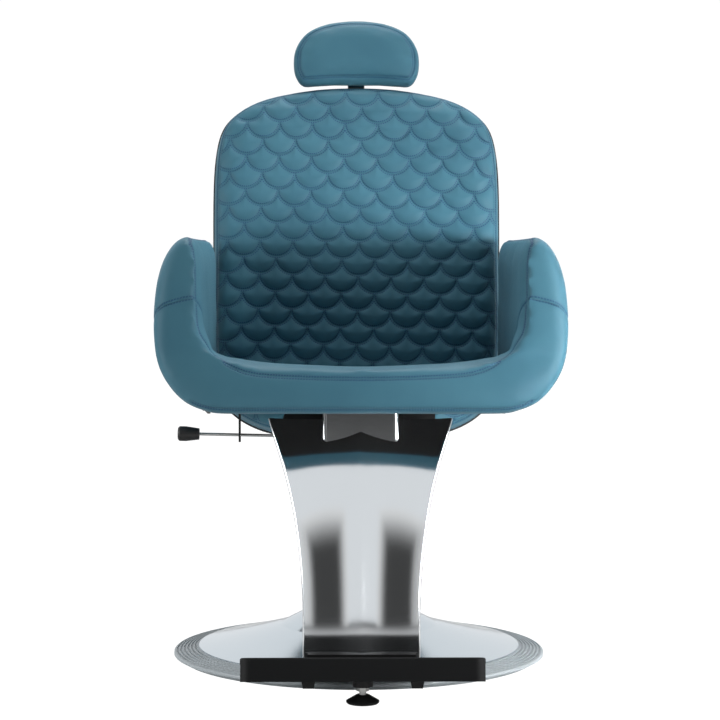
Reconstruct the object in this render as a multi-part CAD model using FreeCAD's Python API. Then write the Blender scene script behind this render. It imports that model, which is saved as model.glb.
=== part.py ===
import FreeCAD, Part
import math
import os

# Threading chair on a pump column: one solid per physical piece, all sizes in millimetres.
# X runs across the chair, -Y is the front, +Z is up.
# The origin is on the floor, on the swivel axis.

V = FreeCAD.Vector

# Fits
fit_gap = 0.05
run_gap = 0.3
soft_gap = 0.4
overrun = 5.0

# Base
ring_radius = 305.0
ring_width = 47.0
ring_edge_height = 12.0
ring_shoulder_height = 19.0
ring_foot_inset = 13.0
ring_foot_rise = 7.0
ring_shoulder_width = 9.0
ring_edge_round = 3.0
ring_grooves = 6
ring_groove_width = 3.2
ring_groove_depth = 1.8
base_thickness = 10.0
hub_radius = 72.0
hub_height = 12.0
cover_thickness = 1.6
cover_lap = 6.0
cover_knee_radius = 130.0
cover_knee_height = 54.0
cover_neck_radius = 56.0
cover_neck_height = 92.0
cover_bulge = -1.5
flange_radius = 68.0
flange_thickness = 9.0
flange_bolt_circle = 56.0
flange_bolt_count = 4
bolt_radius = 4.0
bolt_head_radius = 7.0
bolt_head_height = 5.5
bolt_grip = 8.0

# Pump
pump_radius = 42.0
pump_top = 232.0
pump_floor = 8.0
ram_radius = 27.0
ram_foot_gap = 6.0
gland_radius = 46.0
gland_height = 16.0
gland_lip = 12.0
skirt_radius = 60.0
skirt_height = 7.0
washer_thickness = 3.0

# Pedal
pedal_pivot_y = 62.0
pedal_pivot_z = 116.0
pedal_pin_radius = 5.0
pedal_boss_radius = 11.0
pedal_arm_width = 16.0
pedal_ear_thickness = 7.0
pedal_arm_height = 12.0
pedal_end_y = 258.0
pedal_end_z = 100.0
pedal_pad_width = 74.0
pedal_pad_length = 42.0
pedal_pad_height = 13.0
pedal_pin_end = 5.0

# Seat carrier
hub_tube_radius = 40.0
hub_tube_length = 64.0
bush_thickness = 3.5
bush_length = 18.0
hub_flange_radius = 82.0
hub_flange_thickness = 10.0
mount_width = 250.0
mount_length = 190.0
mount_thickness = 8.0
mount_bolt_x = 44.0
mount_bolt_y = 44.0
rail_width = 30.0
rail_height = 24.0
rail_wall = 2.5
rail_spacing = 210.0
rail_front_y = -118.0
cross_rear_y = 186.0
cross_width = 26.0
hinge_side_gap = 3.5
board_thickness = 9.0
board_width_share = 0.6804
ledge_seat = 16.0
ledge_height = 15.5
board_front_y = -248.0

# Padded band of the seat: front roll and arms
band_half_width = 316.0
band_bottom_z = 418.5
arm_top_z = 693.0
band_front_y = -296.0
band_front_lean = 56.0
band_rear_y = 230.0
band_rear_lean = 43.0
roll_depth = 88.0
band_cavity_share = 0.788
band_dip_share = 0.248
round_shares = [0.0, 0.06, 0.2, 0.45, 1.0]
outline_steps = 88
band_front_round = 16.0
band_front_swell = 36.0
band_rear_round = 12.0
band_rear_swell = 16.0
seam_front_z = 592.0
seam_slope_deg = 36.0
panel_thickness = 10.0
panel_inset = 6.5
panel_knee = 20.0
panel_knee_rise = 14.0
knee_low_share = 0.315
knee_high_share = 0.52
side_panel_top_z = 600.0
side_panel_front_y = -150.0
side_panel_rear_y = 186.0
panel_corner = 60.0
front_panel_inset = 53.0
front_panel_top_z = 462.0
front_panel_front_y = -262.0

# Seat cushion
cushion_front_top_z = 477.0
cushion_rear_top_z = 457.0
cushion_rear_y = 214.0
cushion_crown = 6.0
cushion_round = 6.5

# Front leg plate and its bracket
leg_thickness = 8.0
leg_crease = 9.0
leg_tip_rise = 4.0
leg_top_z = 404.0
leg_bottom_z = 42.0
leg_top_half = 145.0
leg_top_y = -168.0
leg_bottom_y = -287.0
leg_bracket_half = 59.5
leg_bracket_front_y = -191.0
leg_bracket_low_z = 350.0
leg_bracket_round = 7.0
block_half = 52.0
block_low_z = 374.0
block_top_gap = 6.0

# Footrest
foot_half_width = 180.5
foot_front_y = -421.0
foot_rear_y = -297.0
foot_front_z = 74.0
foot_tilt_deg = 12.5
foot_tread_thickness = 9.0
foot_plate_thickness = 8.0
foot_lip_low_z = 39.0
foot_lip_thickness = 11.0
foot_corner = 16.0
foot_ribs = 9
foot_edge_round = 3.0
foot_screw_travel = 5.0
hex_corners = 6
foot_tongue_low_z = 33.0
foot_tongue_top_z = 56.0
foot_tongue_rear_y = -268.0
foot_rib_width = 5.0
foot_rib_depth = 2.2
foot_plate_margin = 12.0
foot_tongue_half = 82.0
foot_lug_x = 80.0
foot_lug_half = 14.0
foot_lug_tip_half = 8.0
foot_lug_low_z = 26.0
foot_lug_length = 26.0
foot_boss_radius = 15.0
foot_boss_low_z = 27.0
foot_axis_y = -398.0
foot_screw_radius = 5.0
foot_nut_radius = 9.5
foot_nut_height = 6.5
foot_pad_radius = 24.5
foot_pad_height = 13.0
foot_pad_floor_gap = 2.0
foot_pad_rim = 4.0

# Release lever
lever_y = -137.0
lever_pivot_x = -66.0
lever_pivot_z = 374.0
lever_rod_radius = 2.4
lever_rod_reach = 47.0
lever_rise_deg = 1.3
lever_eye_radius = 8.0
lever_eye_width = 9.0
lever_pin_radius = 3.0
lever_ear_thickness = 4.0
knob_radius = 11.8
knob_neck_radius = 9.0
knob_length = 34.0
knob_reach = 40.0
knob_taper = 21.0
knob_round = 4.5
guide_inset = 24.0
guide_thickness = 3.0
guide_width = 16.0
guide_low_z = 366.0
guide_slot_low_z = 370.0
guide_slot_high_z = 402.0

# Back: sizes along the pad, measured from its lower end, then turned about the pivot
back_pivot_y = 306.0
back_pivot_z = 395.0
back_rest_deg = 9.0
back_length = 647.0
back_half_width = 258.5
back_pivot_height = 73.0
back_pad_thickness = 50.0
back_board_thickness = 12.0
back_shell_thickness = 26.0
back_board_inset = 9.0
back_front_round = 18.0
back_front_swell = 24.0
back_tuck = 3.0
back_tuck_depth = 10.0
back_shell_round = 16.0
back_shell_swell = 18.0
trim_inset = 1.5
trim_groove = 3.0
pivot_tube_radius = 9.0
pivot_tube_end_gap = 30.0
pivot_pin_radius = 6.0
pivot_pin_reach = 62.0
pivot_shoulder_radius = 9.0
pivot_shoulder_length = 14.0
hinge_plate_thickness = 5.0
hinge_eye_radius = 16.0
pin_head_radius = 10.0
pin_head_height = 4.0

# Scale quilting of the back
scale_width = 60.0
scale_pitch = 31.5
scale_drop = 24.0
scale_top_gap = 40.0
scale_margin = 16.0
scale_shift = -18.0
scale_turn_deg = 1.5
scale_groove_half = 3.0
scale_groove_depth = 1.8

# Gas spring of the back
gas_x = -92.0
gas_front_y = -80.0
gas_front_z = 344.0
gas_cylinder_radius = 12.0
gas_neck_length = 14.0
gas_neck_radius = 5.8
gas_cylinder_length = 206.0
gas_stroke = 56.0
gas_stem_radius = 5.8
gas_stem_length = 28.0
gas_rod_radius = 5.0
gas_eye_radius = 10.0
gas_rear_eye_radius = 12.5
gas_eye_width = 12.0
gas_pin_radius = 4.0
gas_open_clearance = 3.9
gas_ear_thickness = 5.0
gas_rear_depth = 58.0
gas_rear_drop = 15.0
gas_rear_ear_rise = 62.0
gas_rear_ear_half = 11.0
gas_rod_inside = 50.0

# Headrest
head_half_width = 114.2
head_height = 115.4
head_pad_thickness = 43.0
head_board_thickness = 7.0
head_cover_thickness = 6.0
head_board_inset = 7.0
head_gap = 1.2
head_front_depth = 1.0
head_round = 11.0
head_swell = 20.0
head_cover_round = 5.0
socket_length = 186.0
socket_top_gap = 6.0
socket_wall = 3.0
bar_half = 15.0
bar_thickness = 7.0
bar_length_below = 168.0
head_pivot_height = 56.0
head_pivot_offset = 11.5
head_pin_radius = 3.5
head_lug_half = 8.0
head_lug_radius = 8.5
head_lug_height = 34.0
head_ear_thickness = 4.5
head_clevis_height = 22.0

# Widths that follow from the ring, the band and the back
ring_inner_radius = ring_radius - ring_width
ring_foot_radius = ring_radius - ring_foot_inset
band_cavity_half = band_half_width * band_cavity_share
board_half_width = band_half_width * board_width_share
guide_x = guide_inset - board_half_width
knob_start_x = -board_half_width - knob_reach
lever_rod_end_x = -board_half_width - lever_rod_reach
panel_inner_x = band_cavity_half + panel_inset
ledge_half = board_half_width - ledge_seat
front_panel_half = band_cavity_half - front_panel_inset
hinge_x = back_half_width + hinge_side_gap
cross_length = 2 * hinge_x

# Depth of the back's pivot behind its front face
pivot_depth = back_pad_thickness + back_board_thickness + back_shell_thickness / 2

# Heights that follow from the stack of pieces
hub_top = base_thickness + hub_height
flange_top = hub_top + flange_thickness
board_low = band_bottom_z
board_top = board_low + board_thickness
ledge_top = board_top + ledge_height
rail_low = board_low - rail_height
mount_low = rail_low - mount_thickness
hub_flange_low = mount_low - hub_flange_thickness
washer_top = hub_flange_low - run_gap
ram_top = washer_top - washer_thickness
board_rear_y = cross_rear_y


def box(x0, y0, z0, x1, y1, z1):
    return Part.makeBox(x1 - x0, y1 - y0, z1 - z0, V(x0, y0, z0))


def rod(radius, start, end):
    """A round bar from one point to another."""
    way = V(*end) - V(*start)
    return Part.makeCylinder(radius, way.Length, V(*start), way)


def disc(radius, z0, z1, x=0, y=0):
    return Part.makeCylinder(radius, z1 - z0, V(x, y, z0))


def across(radius, x0, x1, y, z):
    """A round bar along X."""
    return Part.makeCylinder(radius, x1 - x0, V(x0, y, z), V(1, 0, 0))


def slab_yz(points, x0, x1):
    """A polygon in Y and Z, extruded across the chair."""
    wire = Part.makePolygon([V(x0, y, z) for y, z in points + points[:1]])
    return Part.Face(wire).extrude(V(x1 - x0, 0, 0))


def turned(points):
    """A polygon in radius and height, turned about the swivel axis."""
    wire = Part.makePolygon([V(r, 0, z) for r, z in points + points[:1]])
    return Part.Face(wire).revolve(V(0, 0, 0), V(0, 0, 1), 360)


def smooth(points, start=None, end=None, closed=False):
    """A smooth curve through the points."""
    curve = Part.BSplineCurve()
    if closed:
        curve.interpolate(Points=points, PeriodicFlag=True)
    elif start is None:
        curve.interpolate(Points=points)
    else:
        curve.interpolate(Points=points, InitialTangent=start, FinalTangent=end)
    return curve.toShape()


def mirrored(shape):
    return shape.mirror(V(0, 0, 0), V(1, 0, 0))


def both(shape):
    """A piece and its mirror image as two solids of one node."""
    return Part.makeCompound([shape, mirrored(shape)])


def edges_where(shape, test):
    return [edge for edge in shape.Edges if test(edge.BoundBox)]


def clean(shape):
    """The largest solid of a result, free of seams."""
    solids = sorted(shape.Solids, key=lambda solid: solid.Volume)
    return solids[-1].removeSplitter()


# Base: ring, plate, cover and pump
def base_pieces():
    grooved = turned([
        (ring_inner_radius, 0), (ring_foot_radius, 0), (ring_radius, ring_foot_rise),
        (ring_radius, ring_edge_height),
        (ring_inner_radius + ring_shoulder_width, ring_shoulder_height),
        (ring_inner_radius, ring_shoulder_height)])
    rim = edges_where(grooved, lambda b: abs(b.ZMin - ring_edge_height) < fit_gap
                      and b.XMax > ring_radius - fit_gap)
    grooved = grooved.makeFillet(ring_edge_round, rim)
    first = ring_inner_radius + ring_shoulder_width
    pitch = (ring_radius - ring_edge_round - first) / ring_grooves
    fall = (ring_shoulder_height - ring_edge_height) / (ring_radius - first)
    for count in range(ring_grooves):
        middle = first + pitch * (count + 1) - pitch / 2
        top = ring_shoulder_height - fall * (middle - first)
        inside = middle - ring_groove_width / 2
        outside = middle + ring_groove_width / 2
        grooved = grooved.cut(turned([
            (inside, top - ring_groove_depth), (outside, top - ring_groove_depth),
            (outside, top + ring_groove_depth), (inside, top + ring_groove_depth)]))
    plate = disc(ring_inner_radius, 0, base_thickness).fuse(disc(hub_radius, 0, hub_top))
    plate = plate.removeSplitter()
    rim_radius = ring_inner_radius + cover_lap
    knee = (cover_knee_radius, cover_knee_height)
    neck = (cover_neck_radius, cover_neck_height)

    def cover_side(drop):
        rim_point = V(rim_radius, 0, ring_shoulder_height + cover_thickness - drop)
        middle = V((rim_radius + knee[0]) / 2, 0,
                   (rim_point.z + knee[1] - drop) / 2 + cover_bulge)
        knee_point = V(knee[0], 0, knee[1] - drop)
        neck_point = V(neck[0], 0, neck[1] - drop)
        return Part.Arc(rim_point, middle, knee_point).toShape(), rim_point, knee_point, neck_point

    top_arc, top_rim, top_knee, top_neck = cover_side(0)
    low_arc, low_rim, low_knee, low_neck = cover_side(cover_thickness)
    section = Part.Wire([
        top_arc, Part.makeLine(top_knee, top_neck), Part.makeLine(top_neck, low_neck),
        Part.makeLine(low_neck, low_knee), low_arc, Part.makeLine(low_rim, top_rim)])
    cover = Part.Face(section).revolve(V(0, 0, 0), V(0, 0, 1), 360)

    flange = disc(flange_radius, hub_top, flange_top)
    heads = []
    for count in range(flange_bolt_count):
        turn = math.radians(360 * (count + 1) / flange_bolt_count - 360 / flange_bolt_count / 2)
        x = flange_bolt_circle * math.cos(turn)
        y = flange_bolt_circle * math.sin(turn)
        shank = disc(bolt_radius, flange_top - flange_thickness - bolt_grip, flange_top, x, y)
        head = disc(bolt_head_radius, flange_top, flange_top + bolt_head_height, x, y)
        heads.append(shank.fuse(head).removeSplitter())
        flange = flange.cut(shank)
        plate = plate.cut(shank)
    body = disc(pump_radius, flange_top, pump_top)
    body = body.cut(disc(ram_radius + run_gap, flange_top + pump_floor, pump_top))
    gland = disc(gland_radius, pump_top - gland_lip, pump_top + gland_height)
    gland = gland.cut(disc(pump_radius, pump_top - gland_lip, pump_top))
    gland = gland.cut(disc(ram_radius + fit_gap, pump_top, pump_top + gland_height))
    skirt = disc(skirt_radius, cover_neck_height, cover_neck_height + skirt_height)
    skirt = skirt.cut(disc(pump_radius, cover_neck_height, cover_neck_height + skirt_height))
    return {"base_ring": grooved, "base_plate": plate, "base_cover": cover,
            "pump_flange": flange, "flange_bolts": Part.makeCompound(heads),
            "pump_body": body, "pump_gland": gland, "pump_skirt": skirt}


def pedal_pieces():
    half = pedal_arm_width / 2
    ear_out = half + run_gap + pedal_ear_thickness
    ears = box(-ear_out, 0, pedal_pivot_z - pedal_boss_radius,
               ear_out, pedal_pivot_y, pedal_pivot_z + pedal_boss_radius)
    ears = ears.fuse(across(pedal_boss_radius, -ear_out, ear_out, pedal_pivot_y, pedal_pivot_z))
    ears = ears.cut(disc(pump_radius, 0, pump_top))
    slot_front = pedal_pivot_y - pedal_boss_radius - run_gap
    ears = ears.cut(box(-half - run_gap, slot_front, 0, half + run_gap,
                        pedal_pivot_y + pedal_boss_radius + overrun, pump_top))
    pin = across(pedal_pin_radius, -ear_out - pedal_pin_end, ear_out + pedal_pin_end,
                 pedal_pivot_y, pedal_pivot_z)
    ears = clean(ears.cut(pin))
    rise = pedal_arm_height / 2
    reach = pedal_end_y - pedal_pad_length
    arm = slab_yz([(pedal_pivot_y, pedal_pivot_z - rise), (reach, pedal_end_z - rise),
                   (pedal_end_y, pedal_end_z - rise), (pedal_end_y, pedal_end_z),
                   (reach, pedal_end_z), (reach - rise, pedal_end_z + rise),
                   (pedal_pivot_y, pedal_pivot_z + rise)], -half, half)
    arm = arm.fuse(across(pedal_boss_radius, -half, half, pedal_pivot_y, pedal_pivot_z))
    bore = across(pedal_pin_radius + fit_gap, -half, half, pedal_pivot_y, pedal_pivot_z)
    arm = clean(arm.cut(bore))
    pad = box(-pedal_pad_width / 2, reach + run_gap, pedal_end_z,
              pedal_pad_width / 2, pedal_end_y, pedal_end_z + pedal_pad_height)
    upright = edges_where(pad, lambda b: b.ZLength > pedal_pad_height / 2)
    pad = pad.makeFillet(pedal_pad_height / 2, upright)
    return {"pedal_bracket": ears, "pedal_pin": pin, "pedal_arm": arm, "pedal_pad": pad}


# Column and seat carrier
def tube_x(half, y0, y1):
    """A square tube across the chair, open at both ends."""
    outside = box(-half, y0, rail_low, half, y1, board_low)
    return outside.cut(box(-half, y0 + rail_wall, rail_low + rail_wall,
                           half, y1 - rail_wall, board_low - rail_wall))


def frame_tubes():
    """Two rails welded between a short front tube and a long rear tube."""
    rail_x = (rail_spacing - rail_width) / 2
    rail_start = rail_front_y + cross_width
    rail_end = cross_rear_y - cross_width
    rail = box(rail_x, rail_start, rail_low, rail_x + rail_width, rail_end, board_low)
    rail = rail.cut(box(rail_x + rail_wall, rail_start, rail_low + rail_wall,
                        rail_x + rail_width - rail_wall, rail_end, board_low - rail_wall))
    front = tube_x(rail_x + rail_width, rail_front_y, rail_start)
    rear = tube_x(cross_length / 2, rail_end, cross_rear_y)
    return clean(front.fuse([rail, mirrored(rail), rear]))


def carrier_pieces():
    ram = disc(ram_radius, flange_top + pump_floor + ram_foot_gap, ram_top)
    washer = disc(ram_radius, ram_top, washer_top)
    hub = disc(hub_tube_radius, mount_low - hub_tube_length, hub_flange_low)
    hub = hub.fuse(disc(hub_flange_radius, hub_flange_low, mount_low)).removeSplitter()
    hub_low = mount_low - hub_tube_length
    hub = hub.cut(disc(ram_radius + bush_thickness, hub_low, hub_flange_low))
    bushes = []
    for low in (hub_low, hub_flange_low - bush_length):
        ring = disc(ram_radius + bush_thickness, low, low + bush_length)
        bushes.append(ring.cut(disc(ram_radius + fit_gap, low, low + bush_length)))
    mount = box(-mount_width / 2, -mount_length / 2, mount_low,
                mount_width / 2, mount_length / 2, rail_low)
    bolts = []
    for sx in (-1, 1):
        for sy in (-1, 1):
            x = sx * mount_bolt_x
            y = sy * mount_bolt_y
            shank = disc(bolt_radius, hub_flange_low, rail_low, x, y)
            head = disc(bolt_head_radius, rail_low, rail_low + bolt_head_height, x, y)
            bolts.append(shank.fuse(head).removeSplitter())
            mount = mount.cut(shank)
            hub = hub.cut(shank)
    frame = frame_tubes()
    return {"pump_ram": ram, "thrust_washer": washer, "swivel_hub": hub,
            "swivel_bushes": Part.makeCompound(bushes), "mount_plate": mount,
            "mount_bolts": Part.makeCompound(bolts), "seat_frame": frame}


def slab_xz(points, y0, y1):
    """A flat outline in the front view, drawn out to the rear."""
    wire = Part.makePolygon([V(x, y0, z) for x, z in points + points[:1]])
    return Part.Face(wire).extrude(V(0, y1 - y0, 0))


# Padded band: one closed outline in the front view, drawn in towards its front and rear planes
def band_points():
    outer_shares = [(0.35, 0.0), (0.62, 0.0), (0.75, 0.02), (0.829, 0.064), (0.905, 0.139),
                    (0.9595, 0.231), (0.99, 0.35), (1.0, 0.51), (0.993, 0.70), (0.972, 0.842),
                    (0.926, 0.94), (0.862, 0.995)]
    inner_shares = [(0.817, 0.975), (0.796, 0.89), (0.7927, 0.76), (0.7915, 0.60),
                    (0.777, 0.475), (0.742, 0.395), (0.68, 0.33), (0.60, 0.295),
                    (0.45, 0.27), (0.22, 0.256)]
    height = arm_top_z - band_bottom_z
    half = [(0.0, 0.0)] + outer_shares + inner_shares
    right = [(x * band_half_width, z * height) for x, z in half]
    left = [(-x, z) for x, z in right[1:][::-1]]
    return right + [(0.0, band_dip_share * height)] + left


def drawn_in(points, inset):
    """The smooth outline through the points, moved towards its inside, as evenly spaced points."""
    edge = smooth([V(x, 0, z) for x, z in points], closed=True)
    moved = []
    for here in range(outline_steps):
        place = edge.getParameterByLength(edge.Length * here / outline_steps)
        spot = edge.valueAt(place)
        way = edge.tangentAt(place)
        moved.append((spot.x - inset * way.z, spot.z + inset * way.x))
    return moved


def roundness(share):
    """How far an edge is drawn in, as a share, at a share of the way into the rounding."""
    return 1 - math.sqrt(1 - (1 - share) ** 2)


def band_solid():
    height = arm_top_z - band_bottom_z
    outline = band_points()
    sections = []
    stations = [(share, band_front_y, band_front_lean, band_front_round, band_front_swell)
                for share in round_shares]
    stations += [(share, band_rear_y, band_rear_lean, band_rear_round, -band_rear_swell)
                 for share in round_shares[::-1]]
    for share, start, lean, radius, swell in stations:
        points = drawn_in(outline, radius * roundness(share))
        places = [V(x, start + lean * z / height + share * swell, band_bottom_z + z)
                  for x, z in points]
        sections.append(Part.Wire([smooth(places, closed=True)]))
    return Part.makeLoft(sections, True, True)


def band_pieces():
    solid = band_solid()
    far = 2 * band_half_width
    well_front = band_front_y + roll_depth
    cavity = box(-band_cavity_half, well_front, ledge_top,
                 band_cavity_half, far, arm_top_z + overrun)
    cavity = cavity.fuse(box(-ledge_half, well_front, band_bottom_z - overrun,
                             ledge_half, far, ledge_top))
    panel_outer_x = panel_inner_x + panel_thickness
    foot_end = panel_outer_x - panel_knee
    foot_start = ledge_half + panel_inset
    panel = slab_xz([(foot_start, board_top), (foot_end, board_top),
                     (panel_outer_x, board_top + panel_knee_rise),
                     (panel_outer_x, side_panel_top_z), (panel_inner_x, side_panel_top_z),
                     (panel_inner_x, board_top + panel_knee_rise + panel_thickness * knee_high_share),
                     (foot_end - panel_thickness * knee_low_share, board_top + panel_thickness),
                     (foot_start, board_top + panel_thickness)],
                    side_panel_front_y, side_panel_rear_y)
    upright = edges_where(panel, lambda b: b.XLength > panel_thickness / 2
                          and b.ZMin > side_panel_top_z - fit_gap
                          and b.YMin < side_panel_front_y + fit_gap)
    panel = panel.makeFillet(panel_corner, upright)
    panels = both(panel)
    front = box(-front_panel_half, front_panel_front_y, board_top,
                front_panel_half, front_panel_front_y + panel_thickness, front_panel_top_z)
    under = box(-far, -far, band_bottom_z - board_thickness, far, far, band_bottom_z)
    board = box(-board_half_width, board_front_y, board_low,
                board_half_width, board_rear_y, board_top)
    recess = box(-board_half_width, board_front_y, board_low - board_thickness,
                 board_half_width, board_rear_y, board_top)
    solid = solid.cut(cavity).cut(panels).cut(front).cut(under).cut(recess)
    drop = far * math.tan(math.radians(seam_slope_deg))
    front_end = band_front_y - overrun
    below = slab_yz([(front_end, band_bottom_z - far), (front_end, seam_front_z),
                     (front_end + far, seam_front_z - drop),
                     (front_end + far, band_bottom_z - far)], -far, far)
    band = clean(solid.common(below))
    arms = sorted(solid.cut(below).Solids, key=lambda piece: piece.Volume)[-2:]
    arms.sort(key=lambda piece: piece.CenterOfMass.x)
    return {"seat_front_band": band, "arm_pad_left": arms[0], "arm_pad_right": arms[1],
            "side_panels": panels,
            "front_panel": front, "seat_board": board}


def seat_cushion():
    half = band_cavity_half - soft_gap
    low_half = ledge_half - soft_gap
    front = band_front_y + roll_depth + soft_gap
    sections = []
    for y, top in ((front, cushion_front_top_z), (cushion_rear_y, cushion_rear_top_z)):
        low = board_top
        side = top - cushion_crown
        corners = [V(-half, y, side), V(-half, y, ledge_top), V(-low_half, y, ledge_top),
                   V(-low_half, y, low), V(low_half, y, low), V(low_half, y, ledge_top),
                   V(half, y, ledge_top), V(half, y, side)]
        edges = [Part.makeLine(start, end) for start, end in zip(corners, corners[1:])]
        crown = Part.Arc(corners[-1], V(0, y, top), corners[0]).toShape()
        sections.append(Part.Wire(edges + [crown]))
    solid = Part.makeLoft(sections, True, True)
    top_edges = edges_where(solid, lambda b: b.ZMin > ledge_top + fit_gap)
    return {"seat_cushion": solid.makeFillet(cushion_round, top_edges)}


# Front leg plate: hollow wings on each side of a proud centre crease, leaning back to its top
def leg_solid():
    height_shares = [1.0, 0.873, 0.743, 0.60, 0.45, 0.30, 0.15, 0.0]
    width_shares = [1.0, 0.895, 0.793, 0.712, 0.658, 0.628, 0.620, 0.617]
    reach_shares = [0.0, 0.250, 0.470, 0.665, 0.815, 0.920, 0.980, 1.0]
    height = leg_top_z - leg_bottom_z
    reach = leg_bottom_y - leg_top_y
    spine = [(leg_top_y + reach * reach_shares[i], leg_bottom_z + height * height_shares[i])
             for i in range(len(height_shares))]
    sections = []
    for i, (y, z) in enumerate(spine):
        y0, z0 = spine[max(i - 1, 0)]
        y1, z1 = spine[min(i + 1, len(spine) - 1)]
        length = math.hypot(y1 - y0, z1 - z0)
        forward = V(0, (z1 - z0) / length, -(y1 - y0) / length)
        half = leg_top_half * width_shares[i]
        body = half - leg_thickness / 2

        def place(x, out):
            return V(x, y, z) + forward * out

        tip = leg_tip_rise
        back = -leg_thickness
        edges = []
        for sign in (-1, 1):
            mid = sign * body / 2
            edges.append(Part.Arc(place(0, leg_crease), place(mid, 0),
                                  place(sign * body, tip)).toShape())
            edges.append(Part.Arc(place(sign * body, tip), place(sign * half, tip + back / 2),
                                  place(sign * body, tip + back)).toShape())
            edges.append(Part.Arc(place(sign * body, tip + back), place(mid, back),
                                  place(0, leg_crease + back)).toShape())
        ordered = edges[:3] + edges[3:][::-1]
        sections.append(Part.Wire(ordered))
    return Part.makeLoft(sections, True, False)


def leg_pieces():
    leg = leg_solid()
    wedge = box(-leg_bracket_half, leg_bracket_front_y, leg_bracket_low_z,
                leg_bracket_half, leg_top_y, board_low)
    corners = edges_where(wedge, lambda b: b.ZLength > leg_bracket_round
                          and b.YMax < leg_bracket_front_y + fit_gap)
    wedge = wedge.makeFillet(leg_bracket_round, corners)
    upper = box(-leg_top_half, leg_bracket_front_y, leg_top_z,
                leg_top_half, leg_top_y, board_low)
    parts = sorted(wedge.cut(upper).cut(leg).Solids, key=lambda piece: piece.CenterOfMass.y)
    bracket = clean(parts[0].fuse(wedge.common(upper).cut(leg)))
    block = box(-block_half, leg_bracket_front_y, block_low_z,
                block_half, rail_front_y, leg_top_z - block_top_gap)
    parts = sorted(block.cut(leg).Solids, key=lambda piece: -piece.CenterOfMass.y)
    cap = box(-block_half, leg_top_y + leg_thickness, block_low_z,
              block_half, rail_front_y, board_low).cut(leg)
    block = clean(parts[0].fuse(cap))
    return {"leg_plate": leg, "leg_bracket": bracket, "plate_mount_block": block}


# Footrest: a leaning plate with a rubber cover and a front lip
def tilted(shape, y, z, degrees):
    """Turned about a line across the chair, the rear end down for a positive angle."""
    turned_shape = shape.copy()
    turned_shape.rotate(V(0, y, z), V(1, 0, 0), -degrees)
    return turned_shape


def foot_pieces(leg):
    tread_low = foot_front_z - foot_tread_thickness
    plate_low = tread_low - foot_plate_thickness
    lip_low = foot_lip_low_z
    tread = box(-foot_half_width, foot_front_y, tread_low,
                foot_half_width, foot_rear_y, foot_front_z)
    lip = box(-foot_half_width, foot_front_y, lip_low,
              foot_half_width, foot_front_y + foot_lip_thickness, foot_front_z)
    tread = tread.fuse(lip).removeSplitter()
    corners = edges_where(tread, lambda b: b.ZLength > foot_tread_thickness - fit_gap
                          and b.XLength < fit_gap and b.YLength < fit_gap
                          and b.YMin < foot_front_y + fit_gap)
    tread = tread.makeFillet(foot_corner, corners)
    rim = edges_where(tread, lambda b: b.ZMin > foot_front_z - fit_gap
                      and b.YMax < foot_rear_y - overrun)
    tread = tread.makeFillet(foot_edge_round, rim)
    rib_start = foot_front_y + foot_lip_thickness
    rib_pitch = (foot_rear_y - rib_start) / (foot_ribs + 1)
    for count in range(foot_ribs):
        middle = rib_start + rib_pitch * (count + 1)
        tread = tread.cut(box(-foot_half_width + foot_corner, middle - foot_rib_width / 2,
                              foot_front_z - foot_rib_depth, foot_half_width - foot_corner,
                              middle + foot_rib_width / 2, foot_front_z + overrun))
    plate = box(-foot_half_width + foot_plate_margin, foot_front_y + foot_lip_thickness, plate_low,
                foot_half_width - foot_plate_margin, foot_rear_y, tread_low)
    tread = tilted(tread, foot_front_y, foot_front_z, foot_tilt_deg)
    plate = tilted(plate, foot_front_y, foot_front_z, foot_tilt_deg)
    slope = math.tan(math.radians(foot_tilt_deg))

    def under(y):
        """Height of the plate's lower face at a place."""
        drop = (foot_tread_thickness + foot_plate_thickness) / math.cos(math.radians(foot_tilt_deg))
        return foot_front_z - slope * (y - foot_front_y) - drop

    lug_front = foot_axis_y - foot_lug_length / 2
    lug_rear = foot_axis_y + foot_lug_length / 2
    lug_top = under(foot_axis_y) + foot_plate_thickness / 2
    lug_wire = Part.makePolygon([
        V(foot_lug_x - foot_lug_half, lug_front, lug_top),
        V(foot_lug_x + foot_lug_half, lug_front, lug_top),
        V(foot_lug_x + foot_lug_tip_half, lug_front, foot_lug_low_z),
        V(foot_lug_x - foot_lug_tip_half, lug_front, foot_lug_low_z),
        V(foot_lug_x - foot_lug_half, lug_front, lug_top)])
    lug = Part.Face(lug_wire).extrude(V(0, lug_rear - lug_front, 0))
    boss = disc(foot_boss_radius, foot_boss_low_z, lug_top, 0, foot_axis_y)
    joined = plate.fuse(lug).fuse(mirrored(lug)).fuse(boss).removeSplitter()
    screw_top = under(foot_axis_y) + foot_plate_thickness / 2
    bore_top = screw_top
    joined = joined.cut(disc(foot_screw_radius + fit_gap, foot_boss_low_z, bore_top, 0, foot_axis_y))
    joined = clean(joined)
    nut_low = foot_boss_low_z - foot_nut_height
    nut = hexagon(foot_nut_radius, nut_low, foot_boss_low_z, foot_axis_y)
    nut = nut.cut(disc(foot_screw_radius + fit_gap, nut_low, foot_boss_low_z, 0, foot_axis_y))
    pad_top = foot_pad_floor_gap + foot_pad_height
    screw = disc(foot_screw_radius, foot_pad_floor_gap + foot_pad_rim,
                 bore_top - foot_screw_travel - run_gap, 0, foot_axis_y)
    pad_points = [(0, foot_pad_floor_gap), (foot_pad_radius - foot_pad_rim / 2, foot_pad_floor_gap),
                  (foot_pad_radius, foot_pad_floor_gap + foot_pad_rim / 2),
                  (foot_pad_radius, foot_pad_floor_gap + foot_pad_rim),
                  (foot_nut_radius, pad_top), (0, pad_top)]
    pad = turned(pad_points)
    pad.translate(V(0, foot_axis_y, 0))
    pad = pad.cut(screw)
    tongue = leg_foot(leg, joined, tread)
    return {"foot_plate": tongue, "foot_tread": tread, "foot_lock_nut": nut,
            "foot_screw": screw, "foot_pad": pad}


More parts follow.
